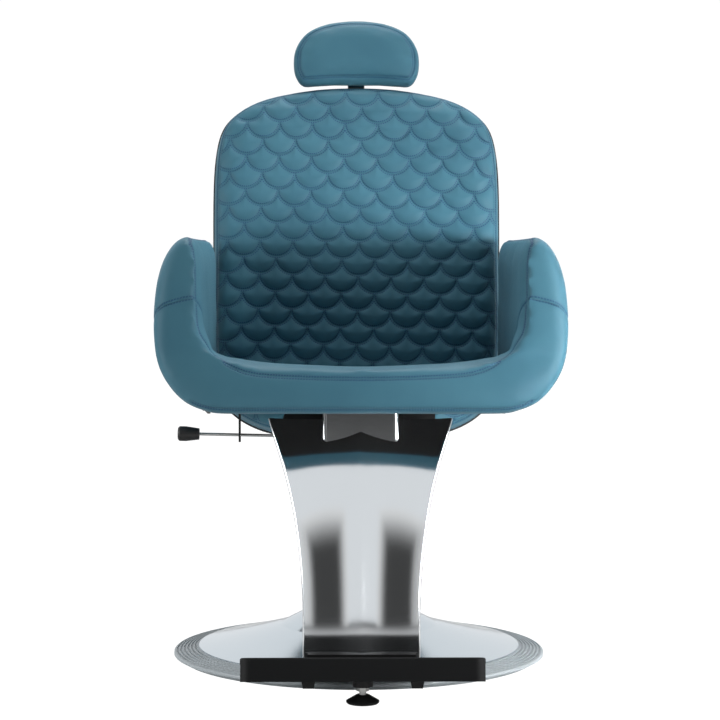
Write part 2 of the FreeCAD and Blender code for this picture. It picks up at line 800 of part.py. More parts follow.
def hexagon(radius, z0, z1, y):
    corners = []
    for count in range(hex_corners + 1):
        turn = 2 * math.pi * count / hex_corners
        corners.append(V(radius * math.cos(turn), y + radius * math.sin(turn), z0))
    return Part.Face(Part.makePolygon(corners)).extrude(V(0, 0, z1 - z0))


def leg_foot(leg, plate, tread):
    """The foot plate runs back under the lower end of the leg plate and holds it."""
    under_leg = box(-foot_tongue_half, foot_rear_y - overrun, foot_tongue_low_z,
                    foot_tongue_half, foot_tongue_rear_y, foot_tongue_top_z)
    return clean(plate.fuse(under_leg).cut(leg).cut(tread))


# Release lever, its bracket and its guide
def lever_pieces():
    half = lever_eye_width / 2
    eye = rod(lever_eye_radius, (lever_pivot_x, lever_y - half, lever_pivot_z),
              (lever_pivot_x, lever_y + half, lever_pivot_z))
    rise = (lever_pivot_x - lever_rod_end_x) * math.tan(math.radians(lever_rise_deg))
    bar = rod(lever_rod_radius, (lever_pivot_x, lever_y, lever_pivot_z),
              (lever_rod_end_x, lever_y, lever_pivot_z + rise))
    out = half + run_gap + lever_ear_thickness
    pin = rod(lever_pin_radius, (lever_pivot_x, lever_y - out, lever_pivot_z),
              (lever_pivot_x, lever_y + out, lever_pivot_z))
    bore = rod(lever_pin_radius + fit_gap, (lever_pivot_x, lever_y - out, lever_pivot_z),
               (lever_pivot_x, lever_y + out, lever_pivot_z))
    bar = clean(eye.fuse(bar).cut(bore))
    ears = box(lever_pivot_x - lever_eye_radius, lever_y - out, lever_pivot_z - lever_eye_radius,
               lever_pivot_x + lever_eye_radius, lever_y + out, board_low)
    ears = ears.cut(box(lever_pivot_x - lever_eye_radius - overrun, lever_y - half - run_gap,
                        lever_pivot_z - lever_eye_radius - overrun,
                        lever_pivot_x + lever_eye_radius + overrun, lever_y + half + run_gap,
                        board_low - lever_ear_thickness))
    ears = clean(ears.cut(pin))
    along = V(lever_rod_end_x - lever_pivot_x, 0, rise)
    along.normalize()

    def at(x):
        share = (x - lever_pivot_x) / along.x
        spot = V(lever_pivot_x, lever_y, lever_pivot_z) + along * share
        return (spot.x, spot.y, spot.z)

    knob_start = V(*at(knob_start_x))
    shoulder = knob_start + along * knob_taper
    tip = knob_start + along * knob_length
    neck = Part.makeCone(knob_neck_radius, knob_radius, knob_taper, knob_start, along)
    grip = Part.makeCylinder(knob_radius, knob_length - knob_taper, shoulder, along)
    tip_edges = [e for e in grip.Edges if e.BoundBox.XMax < (shoulder.x + tip.x) / 2]
    grip = grip.makeFillet(knob_round, tip_edges)
    knob = clean(neck.fuse(grip).cut(bar))
    guide = box(guide_x - guide_thickness / 2, lever_y - guide_width / 2, guide_low_z,
                guide_x + guide_thickness / 2, lever_y + guide_width / 2, board_low)
    slot_half = lever_rod_radius + run_gap
    guide = guide.cut(box(guide_x - guide_thickness, lever_y - slot_half, guide_slot_low_z,
                          guide_x + guide_thickness, lever_y + slot_half, guide_slot_high_z))
    return {"lever_rod": bar, "lever_knob": knob, "lever_bracket": ears, "lever_pin": pin,
            "lever_guide": guide}


# Back: built upright at its pivot and then leaned back
def back_place(depth, along):
    """Upright place of a point by its depth behind the front face and height from the lower end."""
    return (back_pivot_y + depth - pivot_depth, back_pivot_z + along - back_pivot_height)


def leaned(shape):
    result = shape.copy()
    result.rotate(V(0, back_pivot_y, back_pivot_z), V(1, 0, 0), -back_rest_deg)
    return result


def back_outline():
    half_shares = [(0.25, 0.004), (0.5, 0.0195), (0.681, 0.0393), (0.835, 0.0734), (0.93, 0.115),
                   (0.976, 0.172), (1.0, 0.285)]
    rise = half_shares + [(1.0, 0.5)] + [(x, 1 - v) for x, v in half_shares[::-1]]
    right = [(x * back_half_width, v * back_length) for x, v in [(0.0, 0.0)] + rise]
    left = [(-x, v) for x, v in right[1:][::-1]]
    return right + [(0.0, back_length)] + left


def layered(outline, stations, place):
    """A padded layer: the outline drawn in by an amount at each depth."""
    sections = []
    for depth, inset in stations:
        points = []
        for x, along in drawn_in(outline, inset):
            y, z = place(depth, along)
            points.append(V(x, y, z))
        sections.append(Part.Wire([smooth(points, closed=True)]))
    return Part.makeLoft(sections, True, True)


def back_box(x0, x1, depth0, depth1, along0, along1):
    y0, z0 = back_place(depth0, along0)
    y1, z1 = back_place(depth1, along1)
    return box(x0, y0, z0, x1, y1, z1)


def scale_rows():
    """Arcs of the scale quilting: centre, half chord and sagging depth of each, row by row."""
    rows = []
    top = back_length - scale_top_gap
    count = int((top - scale_margin) / scale_pitch)
    for row in range(count):
        level = top - row * scale_pitch
        shift = scale_shift + scale_width / 2 * (row % 2)
        reach = int(back_half_width / scale_width) + 1
        centres = [place * scale_width + shift for place in range(-reach, reach + 1)]
        rows.append((level, centres))
    return rows


def inside(limit, x, along):
    """Whether a point lies inside a closed outline."""
    within = False
    for here in range(len(limit)):
        x0, v0 = limit[here - 1]
        x1, v1 = limit[here]
        if (v0 > along) != (v1 > along) and x < x0 + (along - v0) * (x1 - x0) / (v1 - v0):
            within = not within
    return within


def scale_groove(x, along, radius):
    """A shallow V that follows the lower edge of one scale."""
    deep, z = back_place(scale_groove_depth, along)
    face = deep - 2 * scale_groove_depth
    half = 2 * scale_groove_half
    wire = Part.makePolygon([V(x - radius - half, face, z), V(x - radius + half, face, z),
                             V(x - radius, deep, z), V(x - radius - half, face, z)])
    section = Part.Face(wire)
    half_angle = math.degrees(math.asin(scale_width / 2 / radius))
    section.rotate(V(x, face, z), V(0, 1, 0), half_angle - 90 + scale_turn_deg)
    return section.revolve(V(x, face, z), V(0, 1, 0), -2 * half_angle)


def quilted(pad):
    """Grooves along the lower edge of every scale."""
    radius = ((scale_width / 2) ** 2 + scale_drop ** 2) / (2 * scale_drop)
    limit = drawn_in(back_outline(), scale_margin)
    turn = math.radians(scale_turn_deg)
    top = back_length - scale_top_gap

    def spun(x, along):
        """A place on the flat pattern, once the pattern has its slight turn."""
        up = along - top
        return (x * math.cos(turn) + up * math.sin(turn),
                top + up * math.cos(turn) - x * math.sin(turn))

    tools = []
    for level, centres in scale_rows():
        low = level - scale_drop
        for x in centres:
            ends = [(x, low), (x, level), (x - scale_width / 2, level),
                    (x + scale_width / 2, level)]
            if all(inside(limit, *spun(*end)) for end in ends):
                tools.append(scale_groove(*spun(x, low + radius), radius))
    return pad.cut(tools)


def back_pieces():
    outline = back_outline()
    pad_rear = back_pad_thickness
    board_rear = pad_rear + back_board_thickness
    shell_rear = board_rear + back_shell_thickness
    front = [(share * back_front_swell, back_front_round * roundness(share))
             for share in round_shares]
    pad = layered(outline, front + [(pad_rear - back_tuck_depth, 0), (pad_rear, back_tuck)],
                  back_place)
    pad = clean(quilted(pad))
    board = layered(outline, [(pad_rear, back_board_inset), (board_rear, back_board_inset)],
                    back_place)
    trim = layered(outline, [(pad_rear, trim_inset),
                             (pad_rear + back_board_thickness / 4, trim_inset),
                             (pad_rear + back_board_thickness / 2, trim_inset + trim_groove),
                             (board_rear - back_board_thickness / 4, trim_inset),
                             (board_rear, trim_inset)], back_place).cut(board)
    rear = [(shell_rear - share * back_shell_swell, back_shell_round * roundness(share))
            for share in round_shares[::-1]]
    shell = layered(outline, [(board_rear, back_tuck)] + rear, back_place)

    tube_y, tube_z = back_pivot_y, back_pivot_z
    far = back_half_width + overrun
    channel = across(pivot_tube_radius + fit_gap, -far, far, tube_y, tube_z)
    shell = shell.cut(channel)
    tube_half = hinge_x - pivot_tube_end_gap
    tube = across(pivot_tube_radius, -tube_half, tube_half, tube_y, tube_z)
    tube = tube.cut(across(pivot_pin_radius + fit_gap, -far, far, tube_y, tube_z))

    ear_in = gas_eye_width / 2 + run_gap
    ears = []
    for sign in (-1, 1):
        near = gas_x + sign * ear_in
        out = gas_x + sign * (ear_in + gas_ear_thickness)
        ear = back_box(min(near, out), max(near, out), gas_rear_depth - gas_rear_ear_half,
                       board_rear, -gas_rear_drop, gas_rear_ear_rise)
        y, z = back_place(gas_rear_depth, -gas_rear_drop)
        ear = ear.fuse(across(gas_rear_ear_half, min(near, out), max(near, out), y, z))
        ears.append(ear.removeSplitter())
    bracket = Part.makeCompound(ears)
    out = ear_in + gas_ear_thickness
    rear_pin = across(gas_pin_radius, gas_x - out, gas_x + out, y, z)
    bracket = bracket.cut(rear_pin)
    board = board.cut(bracket)
    trim = trim.cut(bracket)
    pad = pad.cut(bracket)
    shell = shell.cut(bracket)
    between = back_box(gas_x - ear_in, gas_x + ear_in, gas_rear_depth - gas_rear_ear_half,
                       board_rear, -overrun, back_board_inset)
    trim = trim.cut(between)

    socket_low = back_length - socket_top_gap - socket_length
    socket_high = back_length - socket_top_gap
    bar_front = board_rear + socket_wall + fit_gap
    bar_rear = bar_front + bar_thickness
    outer = bar_half + fit_gap + socket_wall
    socket = back_box(-outer, outer, board_rear, bar_rear + fit_gap + socket_wall,
                      socket_low, socket_high)
    passage = back_box(-bar_half - fit_gap, bar_half + fit_gap, bar_front - fit_gap,
                       bar_rear + fit_gap, back_length - socket_top_gap - socket_length,
                       back_length + overrun)
    shell = clean(shell.cut(socket).cut(passage))
    socket = socket.cut(passage)
    result = {"back_cushion": pad, "back_board": board, "back_trim": clean(trim),
              "back_shell": shell, "back_pivot_tube": tube, "back_spring_bracket": bracket,
              "back_spring_pin": rear_pin, "headrest_socket": socket}
    result.update(head_pieces(bar_front, bar_rear))
    return {name: leaned(shape) for name, shape in result.items()}


def head_outline():
    shares = [(0.0, 0.0), (0.28, -0.004), (0.52, -0.02), (0.74, -0.04), (0.865, -0.03),
              (0.935, 0.05), (0.985, 0.16), (1.0, 0.31), (0.985, 0.49), (0.92, 0.645),
              (0.81, 0.785), (0.65, 0.885), (0.42, 0.958), (0.2, 0.992)]
    right = [(x * head_half_width, v * head_height) for x, v in shares]
    left = [(-x, v) for x, v in right[1:][::-1]]
    return right + [(0.0, head_height)] + left


def head_place(depth, along):
    return back_place(depth, back_length + head_gap + along)


def head_pieces(bar_front, bar_rear):
    """Headrest, its hinge and its bar, upright above the back."""
    outline = head_outline()
    cover_rear = (bar_front + bar_rear) / 2 - head_pivot_offset
    cover_front = cover_rear - head_cover_thickness
    board_front = cover_front - head_board_thickness
    pad_front = board_front - head_pad_thickness
    front = [(pad_front + share * head_swell, head_round * roundness(share))
             for share in round_shares]
    pad = layered(outline, front + [(board_front - back_tuck_depth, 0), (board_front, back_tuck)],
                  head_place)
    board = layered(outline, [(board_front, head_board_inset), (cover_front, head_board_inset)],
                    head_place)
    cover = layered(outline, [(cover_front, back_tuck), (cover_rear, back_tuck + head_cover_round)],
                    head_place)
    pivot_y, pivot_z = head_place((bar_front + bar_rear) / 2, head_pivot_height)
    lug = across(head_lug_radius, -head_lug_half, head_lug_half, pivot_y, pivot_z)
    cover_y = head_place(cover_front, 0)[0]
    lug = lug.fuse(box(-head_lug_half, cover_y, pivot_z - head_lug_radius,
                       head_lug_half, pivot_y, pivot_z + head_lug_radius))
    foot_y = head_place(cover_rear, 0)[0]
    cover = cover.cut(lug)
    pin_out = head_lug_half + run_gap + head_ear_thickness
    lug = clean(lug.cut(across(head_pin_radius + fit_gap, -pin_out, pin_out, pivot_y, pivot_z)))
    pin = across(head_pin_radius, -pin_out, pin_out, pivot_y, pivot_z)
    low_y, low_z = back_place(bar_front, back_length - socket_top_gap - bar_length_below)
    bar = box(-bar_half, low_y, low_z, bar_half, low_y + bar_thickness,
              pivot_z - head_lug_radius - run_gap)
    ears = []
    for sign in (-1, 1):
        near = sign * (head_lug_half + run_gap)
        out = sign * pin_out
        ear = box(min(near, out), low_y, pivot_z - head_clevis_height,
                  max(near, out), low_y + bar_thickness, pivot_z)
        ear = ear.fuse(across(head_lug_radius, min(near, out), max(near, out), pivot_y, pivot_z))
        ears.append(ear)
    bar = clean(bar.fuse(ears).cut(pin))
    return {"headrest_cushion": pad, "headrest_board": board, "headrest_cover": cover,
            "headrest_lug": lug, "headrest_pin": pin, "headrest_bar": bar}


# Hinge of the back on the seat carrier
def hinge_pieces():
    x0 = hinge_x
    x1 = x0 + hinge_plate_thickness
    front = cross_rear_y - cross_width
    strap = slab_yz([(front, rail_low), (cross_rear_y, rail_low),
                     (back_pivot_y, back_pivot_z - hinge_eye_radius),
                     (back_pivot_y, back_pivot_z + hinge_eye_radius),
                     (cross_rear_y, board_low), (front, board_low)], x0, x1)
    plate = strap.fuse(across(hinge_eye_radius, x0, x1, back_pivot_y, back_pivot_z))
    pin = across(pivot_pin_radius, x0 - pivot_pin_reach, x1, back_pivot_y, back_pivot_z)
    pin = pin.fuse(across(pivot_shoulder_radius, x0 - pivot_shoulder_length, x0,
                          back_pivot_y, back_pivot_z))
    pin = pin.fuse(across(pin_head_radius, x1, x1 + pin_head_height, back_pivot_y, back_pivot_z))
    pin = pin.removeSplitter()
    plate = clean(plate.cut(pin))
    return {"hinge_plates": both(plate), "hinge_pins": both(pin)}


# Gas spring between the carrier and the lower end of the back
def gas_pieces():
    y, z = back_place(gas_rear_depth, -gas_rear_drop)
    turn = math.radians(back_rest_deg)
    across_y = y - back_pivot_y
    across_z = z - back_pivot_z
    rear = V(gas_x, back_pivot_y + across_y * math.cos(turn) + across_z * math.sin(turn),
             back_pivot_z - across_y * math.sin(turn) + across_z * math.cos(turn))
    front = V(gas_x, gas_front_y, gas_front_z)
    way = rear - front
    length = way.Length
    way.normalize()

    def on_line(distance):
        spot = front + way * distance
        return (spot.x, spot.y, spot.z)

    half = gas_eye_width / 2
    barrel_end = gas_neck_length + gas_cylinder_length
    cylinder = rod(gas_cylinder_radius, on_line(gas_neck_length), on_line(barrel_end))
    neck = rod(gas_neck_radius, on_line(0), on_line(gas_neck_length + overrun))
    eye = across(gas_eye_radius, gas_x - half, gas_x + half, front.y, front.z)
    hole = across(gas_pin_radius + fit_gap, gas_x - half, gas_x + half, front.y, front.z)
    bore_start = barrel_end - gas_rod_inside - gas_stroke
    bore = rod(gas_rod_radius + fit_gap, on_line(bore_start), on_line(barrel_end))
    cylinder = clean(cylinder.fuse([neck, eye]).cut(hole).cut(bore))
    shaft = rod(gas_rod_radius, on_line(barrel_end - gas_rod_inside), on_line(length))
    stem = rod(gas_stem_radius, on_line(length - gas_stem_length), on_line(length))
    rear_eye = across(gas_rear_eye_radius, gas_x - half, gas_x + half, rear.y, rear.z)
    open_hole = across(gas_pin_radius + gas_open_clearance, gas_x - half, gas_x + half,
                       rear.y, rear.z)
    shaft = clean(shaft.fuse([stem, rear_eye]).cut(open_hole))
    ear_in = half + run_gap
    ears = []
    for sign in (-1, 1):
        near = gas_x + sign * ear_in
        out = gas_x + sign * (ear_in + gas_ear_thickness)
        ear = box(min(near, out), front.y - gas_eye_radius, front.z,
                  max(near, out), front.y + gas_eye_radius, mount_low)
        ear = ear.fuse(across(gas_eye_radius, min(near, out), max(near, out), front.y, front.z))
        ears.append(ear.removeSplitter())
    pin_out = ear_in + gas_ear_thickness
    pin = across(gas_pin_radius, gas_x - pin_out, gas_x + pin_out, front.y, front.z)
    bracket = Part.makeCompound(ears).cut(pin)
    return {"gas_cylinder": cylinder, "gas_rod": shaft, "gas_front_bracket": bracket,
            "gas_front_pin": pin}


def all_pieces():
    pieces = {}
    legs = leg_pieces()
    for group in (base_pieces(), pedal_pieces(), carrier_pieces(), band_pieces(),
                  seat_cushion(), legs, foot_pieces(legs["leg_plate"]), lever_pieces(),
                  hinge_pieces(), gas_pieces(), back_pieces()):
        pieces.update(group)
    return pieces


os.makedirs("parts", exist_ok=True)
for name, shape in all_pieces().items():
    shape.exportStep("parts/" + name + ".step")
    print(name, len(shape.Solids), round(shape.Volume), shape.isValid())
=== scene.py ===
"""Looks of the threading chair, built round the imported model, in metres."""

import logging
import math
from dataclasses import dataclass, field
from enum import Enum
from typing import Any, Callable, Optional, Sequence

import bmesh
import bpy
import numpy as np
from mathutils import Matrix, Vector
from mathutils.bvhtree import BVHTree


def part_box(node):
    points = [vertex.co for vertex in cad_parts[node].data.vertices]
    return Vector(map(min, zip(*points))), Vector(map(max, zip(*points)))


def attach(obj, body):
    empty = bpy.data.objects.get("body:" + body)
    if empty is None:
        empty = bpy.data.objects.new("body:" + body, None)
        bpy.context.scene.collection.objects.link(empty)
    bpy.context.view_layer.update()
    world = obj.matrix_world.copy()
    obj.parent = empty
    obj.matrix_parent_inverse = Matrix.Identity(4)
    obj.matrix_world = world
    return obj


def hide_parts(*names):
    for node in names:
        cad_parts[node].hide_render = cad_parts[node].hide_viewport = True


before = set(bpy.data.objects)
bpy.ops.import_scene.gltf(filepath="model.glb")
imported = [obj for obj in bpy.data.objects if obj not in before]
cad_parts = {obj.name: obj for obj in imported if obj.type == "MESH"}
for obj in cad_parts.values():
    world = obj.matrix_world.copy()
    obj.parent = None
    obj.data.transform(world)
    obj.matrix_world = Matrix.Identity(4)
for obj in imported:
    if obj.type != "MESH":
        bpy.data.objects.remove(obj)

logging.basicConfig(level=logging.INFO, format="%(message)s")
log = logging.getLogger("chair")

Point2 = tuple[float, float]
Colour = tuple[float, float, float]

ROUND_SHARES = (0.0, 0.03, 0.1, 0.22, 0.45, 1.0)
"""Where the sections of a rounded edge lie, as shares of the way into it."""


# ---------------------------------------------------------------- shader sums


def linear(red: int, green: int, blue: int) -> Colour:
    """Turn a screen colour into the linear one that shaders use."""
    values = []
    for level in (red, green, blue):
        share = level / 255
        values.append(share / 12.92 if share <= 0.04045 else ((share + 0.055) / 1.055) ** 2.4)
    return (values[0], values[1], values[2])


class Link:
    """A shader socket that takes part in Python sums."""

    def __init__(self, tree: "Tree", socket: Any) -> None:
        """Hold the socket and the tree that it is in.

        Args:
            tree: The node tree.
            socket: An output socket.
        """
        self.tree = tree
        self.socket = socket

    def __add__(self, other: "Value") -> "Link":
        """Sum."""
        return self.tree.math("ADD", self, other)

    def __radd__(self, other: "Value") -> "Link":
        """Sum with the number first."""
        return self.tree.math("ADD", other, self)

    def __sub__(self, other: "Value") -> "Link":
        """Difference."""
        return self.tree.math("SUBTRACT", self, other)

    def __rsub__(self, other: "Value") -> "Link":
        """Difference with the number first."""
        return self.tree.math("SUBTRACT", other, self)

    def __mul__(self, other: "Value") -> "Link":
        """Product."""
        return self.tree.math("MULTIPLY", self, other)

    def __rmul__(self, other: "Value") -> "Link":
        """Product with the number first."""
        return self.tree.math("MULTIPLY", other, self)

    def __truediv__(self, other: "Value") -> "Link":
        """Quotient."""
        return self.tree.math("DIVIDE", self, other)


Value = Link | float


class Tree:
    """The node tree of one material."""

    def __init__(self, name: str) -> None:
        """Start an empty material.

        Args:
            name: The material's name.
        """
        self.material = bpy.data.materials.new(name)
        self.material.use_nodes = True
        self.nodes = self.material.node_tree.nodes
        self.links = self.material.node_tree.links
        self.nodes.clear()

    def node(self, kind: str, settings: Optional[dict[str, Any]] = None,
             inputs: Optional[dict[Any, Any]] = None, output: Any = 0) -> Link:
        """Add any node.

        Args:
            kind: The node's type.
            settings: Its properties.
            inputs: Values or links by socket name or number.
            output: The socket to hand back.

        Returns:
            The chosen output.
        """
        made = self.nodes.new(kind)
        for key, value in (settings or {}).items():
            setattr(made, key, value)
        for key, value in (inputs or {}).items():
            if isinstance(value, Link):
                self.links.new(value.socket, made.inputs[key])
            elif isinstance(value, tuple) and len(value) == 3 and made.inputs[key].type == "RGBA":
                made.inputs[key].default_value = (*value, 1.0)
            else:
                made.inputs[key].default_value = value
        return Link(self, made.outputs[output])

    def math(self, operation: str, *values: Value) -> Link:
        """Add one Math node.

        Args:
            operation: The node's operation.
            values: Its numbers or links.

        Returns:
            The result.
        """
        return self.node("ShaderNodeMath", {"operation": operation},
                         dict(enumerate(values)))

    def step(self, value: Value, low: float, high: float) -> Link:
        """Rise smoothly from 0 at low to 1 at high."""
        return self.node("ShaderNodeMapRange", {"interpolation_type": "SMOOTHSTEP"},
                         {"Value": value, "From Min": low, "From Max": high})

    def mix(self, share: Value, first: Any, second: Any) -> Link:
        """Mix two colours.

        Args:
            share: How much of the second.
            first: A colour or link.
            second: A colour or link.

        Returns:
            The mixed colour.
        """
        return self.node("ShaderNodeMix", {"data_type": "RGBA"},
                         {0: share, 6: first, 7: second}, 2)

    def place(self) -> Link:
        """Object coordinates, which are the chair's own metres."""
        return self.node("ShaderNodeTexCoord", output="Object")

    def noise(self, where: Link, scale: float, detail: float = 2.0,
              rough: float = 0.5) -> Link:
        """Smooth noise from 0 to 1."""
        return self.node("ShaderNodeTexNoise", inputs={
            "Vector": where, "Scale": scale, "Detail": detail, "Roughness": rough})

    def cells(self, where: Link, scale: float) -> Link:
        """Distance to the walls of small cells, as of leather grain."""
        return self.node("ShaderNodeTexVoronoi", {"feature": "DISTANCE_TO_EDGE"},
                         {"Vector": where, "Scale": scale})

    def own(self, name: str) -> Link:
        """A number that the mesh carries at its points."""
        return self.node("ShaderNodeAttribute", {"attribute_name": name}, output="Fac")

    def bump(self, height: Value, distance: float, strength: float = 1.0,
             normal: Optional[Link] = None) -> Link:
        """Turn a height into a normal.

        Args:
            height: The height, from 0 to 1.
            distance: What a height of 1 is, in metres.
            strength: How much of it shows.
            normal: A normal that it is laid over.

        Returns:
            The new normal.
        """
        inputs = {"Height": height, "Distance": distance, "Strength": strength}
        if normal is not None:
            inputs["Normal"] = normal
        return self.node("ShaderNodeBump", inputs=inputs)

    def finish(self, **inputs: Any) -> bpy.types.Material:
        """End in one Principled shader.

        Args:
            inputs: Values or links by socket name, with _ for a space.

        Returns:
            The material.
        """
        named = {key.replace("_", " "): value for key, value in inputs.items()}
        surface = self.node("ShaderNodeBsdfPrincipled", inputs=named)
        self.lead_out(surface)
        return self.material

    def lead_out(self, surface: Link) -> None:
        """Lead a shader to the output."""
        end = self.nodes.new("ShaderNodeOutputMaterial")
        self.links.new(surface.socket, end.inputs["Surface"])


# ---------------------------------------------------------------- finishes


class Quilt(Enum):
    """Whether a leather piece carries the scale quilting."""

    PLAIN = "plain"
    SCALES = "scales"


@dataclass(frozen=True)
class ScalePattern:
    """Sizes of the scale quilting, in metres on the back's front face."""

    width: float = 0.0582
    pitch: float = 0.0306
    drop: float = 0.0225
    top: float = 0.5945
    shift: float = -0.020
    turn_deg: float = 1.3
    line_gap: float = 0.0022
    crease: tuple[float, float] = (0.0005, 0.0046)
    thread: tuple[float, float] = (0.0005, 0.0013)
    stitch: float = 0.0019
    stitch_end: tuple[float, float] = (0.0004, 0.0009)
    relief: float = 0.0046
    relief_reach: float = 0.0085
    relief_power: float = 1.3
    sink: float = 0.0022

    @property
    def radius(self) -> float:
        """Radius of every scale's arc."""
        return ((self.width / 2) ** 2 + self.drop ** 2) / (2 * self.drop)

    def height(self, across: np.ndarray, along: np.ndarray) -> np.ndarray:
        """Distance of each place to the nearest stitched arc.

        Args:
            across: Places across the back.
            along: Places up the back.

        Returns:
            The distances.
        """
        turn = math.radians(self.turn_deg)
        up = along - self.top
        u = across * math.cos(turn) - up * math.sin(turn)
        v = self.top + up * math.cos(turn) + across * math.sin(turn)
        radius = self.radius
        half = math.asin(self.width / 2 / radius)
        nearest = np.full(len(u), 1.0)
        row = np.floor((self.top - v) / self.pitch)
        for step in (-1, 0, 1):
            here = row + step
            level = self.top - here * self.pitch
            start = self.shift + self.width / 2 * np.mod(here, 2)
            for side in (0, 1):
                count = np.floor((u - start) / self.width) + side
                middle = start + count * self.width
                dx, dv = u - middle, v - (level - self.drop + radius)
                angle = np.clip(np.arctan2(dx, -dv), -half, half)
                gap = np.hypot(dx - radius * np.sin(angle), dv + radius * np.cos(angle))
                nearest = np.minimum(nearest, gap)
        return nearest


@dataclass(frozen=True)
class Leather:
    """Soft satin leather with a fine grain, sewn seams and thread, and painted shade in the seam
    creases.
    """

    colour: Colour = linear(66, 112, 128)
    deep: Colour = linear(50, 94, 112)
    thread: Colour = linear(22, 62, 98)
    roughness: float = 0.47
    quilt: Quilt = Quilt.PLAIN
    grain_size: float = 620.0
    fine_size: float = 1500.0
    weave_size: float = 260.0
    cloud_size: float = 9.0
    crease_width: tuple[float, float] = (0.0006, 0.0052)
    thread_gap: float = 0.0024
    thread_width: tuple[float, float] = (0.0005, 0.0013)
    stitch: float = 0.0021
    stitch_end: tuple[float, float] = (0.0003, 0.0008)

    def material(self, name: str) -> bpy.types.Material:
        """Build the material.

        Args:
            name: Its name.

        Returns:
            The material.
        """
        tree = Tree(name)
        where = tree.place()
        grain = tree.cells(where, self.grain_size)
        fine = tree.noise(where, self.fine_size, 3.0, 0.6)
        cloud = tree.noise(where, self.cloud_size, 3.0, 0.55)
        pores = tree.step(grain, 0.0, 0.22)
        weave = tree.noise(where, self.weave_size, 2.0, 0.5)
        gap = tree.own("seam_gap")
        run = tree.own("seam_run")
        crease = 1.0 - tree.step(gap, *self.crease_width)
        line = tree.math("ABSOLUTE", gap - self.thread_gap)
        thread = 1.0 - tree.step(line, *self.thread_width)
        dash = tree.step(tree.math("PINGPONG", run, self.stitch), *self.stitch_end)
        thread = thread * dash
        if self.quilt is Quilt.SCALES:
            arc, stitch = self._scales(tree, where)
            inner = tree.own("quilt")
            thread = tree.math("MAXIMUM", thread, stitch * inner)
            crease = tree.math("MAXIMUM", crease, arc * inner)
        shade = tree.mix(cloud, self.colour, self.deep)
        # Painted shade: the seam creases and the quilting arcs are darkened towards the deep tone.
        shade = tree.mix(crease * 0.25, shade, self.deep)
        shade = tree.mix(thread * 0.85, shade, self.thread)
        rough = self.roughness + cloud * 0.10 + (1.0 - pores) * 0.06
        height = pores * 0.45 + fine * 0.25 + weave * 0.3
        normal = tree.bump(height, 0.00022, 0.55)
        normal = tree.bump(1.0 - crease, 0.0008, 0.5, normal)
        normal = tree.bump(thread, 0.0007, 0.9, normal)
        return tree.finish(Base_Color=shade, Roughness=rough, Normal=normal,
                           Specular_IOR_Level=0.22, Sheen_Weight=0.03,
                           Sheen_Roughness=0.5)

    def _scales(self, tree: Tree, where: Link) -> tuple[Link, Link]:
        """Draw the arcs and the stitches of the scale quilting.

        Args:
            tree: The material's tree.
            where: Object coordinates.

        Returns:
            The crease of the arcs, which gets painted shade and a bump, and their stitches.
        """
        pattern = ScalePattern()
        parts = tree.node("ShaderNodeSeparateXYZ", inputs={0: where}, output="X")
        up = Link(tree, parts.socket.node.outputs["Z"])
        rear = Link(tree, parts.socket.node.outputs["Y"])
        lean = math.radians(Backrest.lean_deg)
        along = ((rear - Backrest.pivot_y) * math.sin(lean)
                 + (up - Backrest.pivot_z) * math.cos(lean) + Backrest.pivot_height)
        turn = math.radians(pattern.turn_deg)
        over = along - pattern.top
        u = parts * math.cos(turn) - over * math.sin(turn)
        v = pattern.top + over * math.cos(turn) + parts * math.sin(turn)
        slack = (pattern.pitch - pattern.drop) / 2
        rows = (pattern.top - v + slack) / pattern.pitch
        row = tree.math("FLOOR", rows)
        fall = (rows - row) * pattern.pitch - slack
        start = pattern.shift + tree.math("FLOORED_MODULO", row, 2.0) * (pattern.width / 2)
        side = tree.math("FLOORED_MODULO", u - start + pattern.width / 2, pattern.width) \
            - pattern.width / 2
        drop = fall - (pattern.drop - pattern.radius)
        reach = tree.math("SQRT", side * side + drop * drop)
        gap = tree.math("ABSOLUTE", reach - pattern.radius)
        crease = 1.0 - tree.step(gap, *pattern.crease)
        angle = tree.math("ARCTAN2", side, drop)
        run = tree.math("PINGPONG", angle * pattern.radius, pattern.stitch)
        dash = tree.step(run, *pattern.stitch_end)
        line = tree.math("ABSOLUTE", gap - pattern.line_gap)
        stitch = (1.0 - tree.step(line, *pattern.thread)) * dash
        return crease, stitch


@dataclass(frozen=True)
class Metal:
    """Polished, plated or brushed metal."""

    colour: Colour = (0.80, 0.81, 0.82)
    roughness: float = 0.08
    grain: float = 0.0
    blotch: float = 0.02
    stretch: tuple[float, float, float] = (1.0, 1.0, 1.0)

    def material(self, name: str) -> bpy.types.Material:
        """Build the material.

        Args:
            name: Its name.

        Returns:
            The material.
        """
        tree = Tree(name)
        where = tree.place()
        drawn = tree.node("ShaderNodeMapping", inputs={"Vector": where, "Scale": self.stretch})
        hair = tree.noise(drawn, 900.0, 3.0, 0.6)
        cloud = tree.noise(where, 14.0, 4.0, 0.6)
        rough = self.roughness + cloud * self.blotch * 2 + hair * self.grain
        shade = tree.mix(cloud * 0.25, self.colour, tuple(level * 0.9 for level in self.colour))
        normal = tree.bump(hair, 0.00004, 0.3 + self.grain)
        return tree.finish(Base_Color=shade, Metallic=1.0, Roughness=rough,
                           Normal=normal)


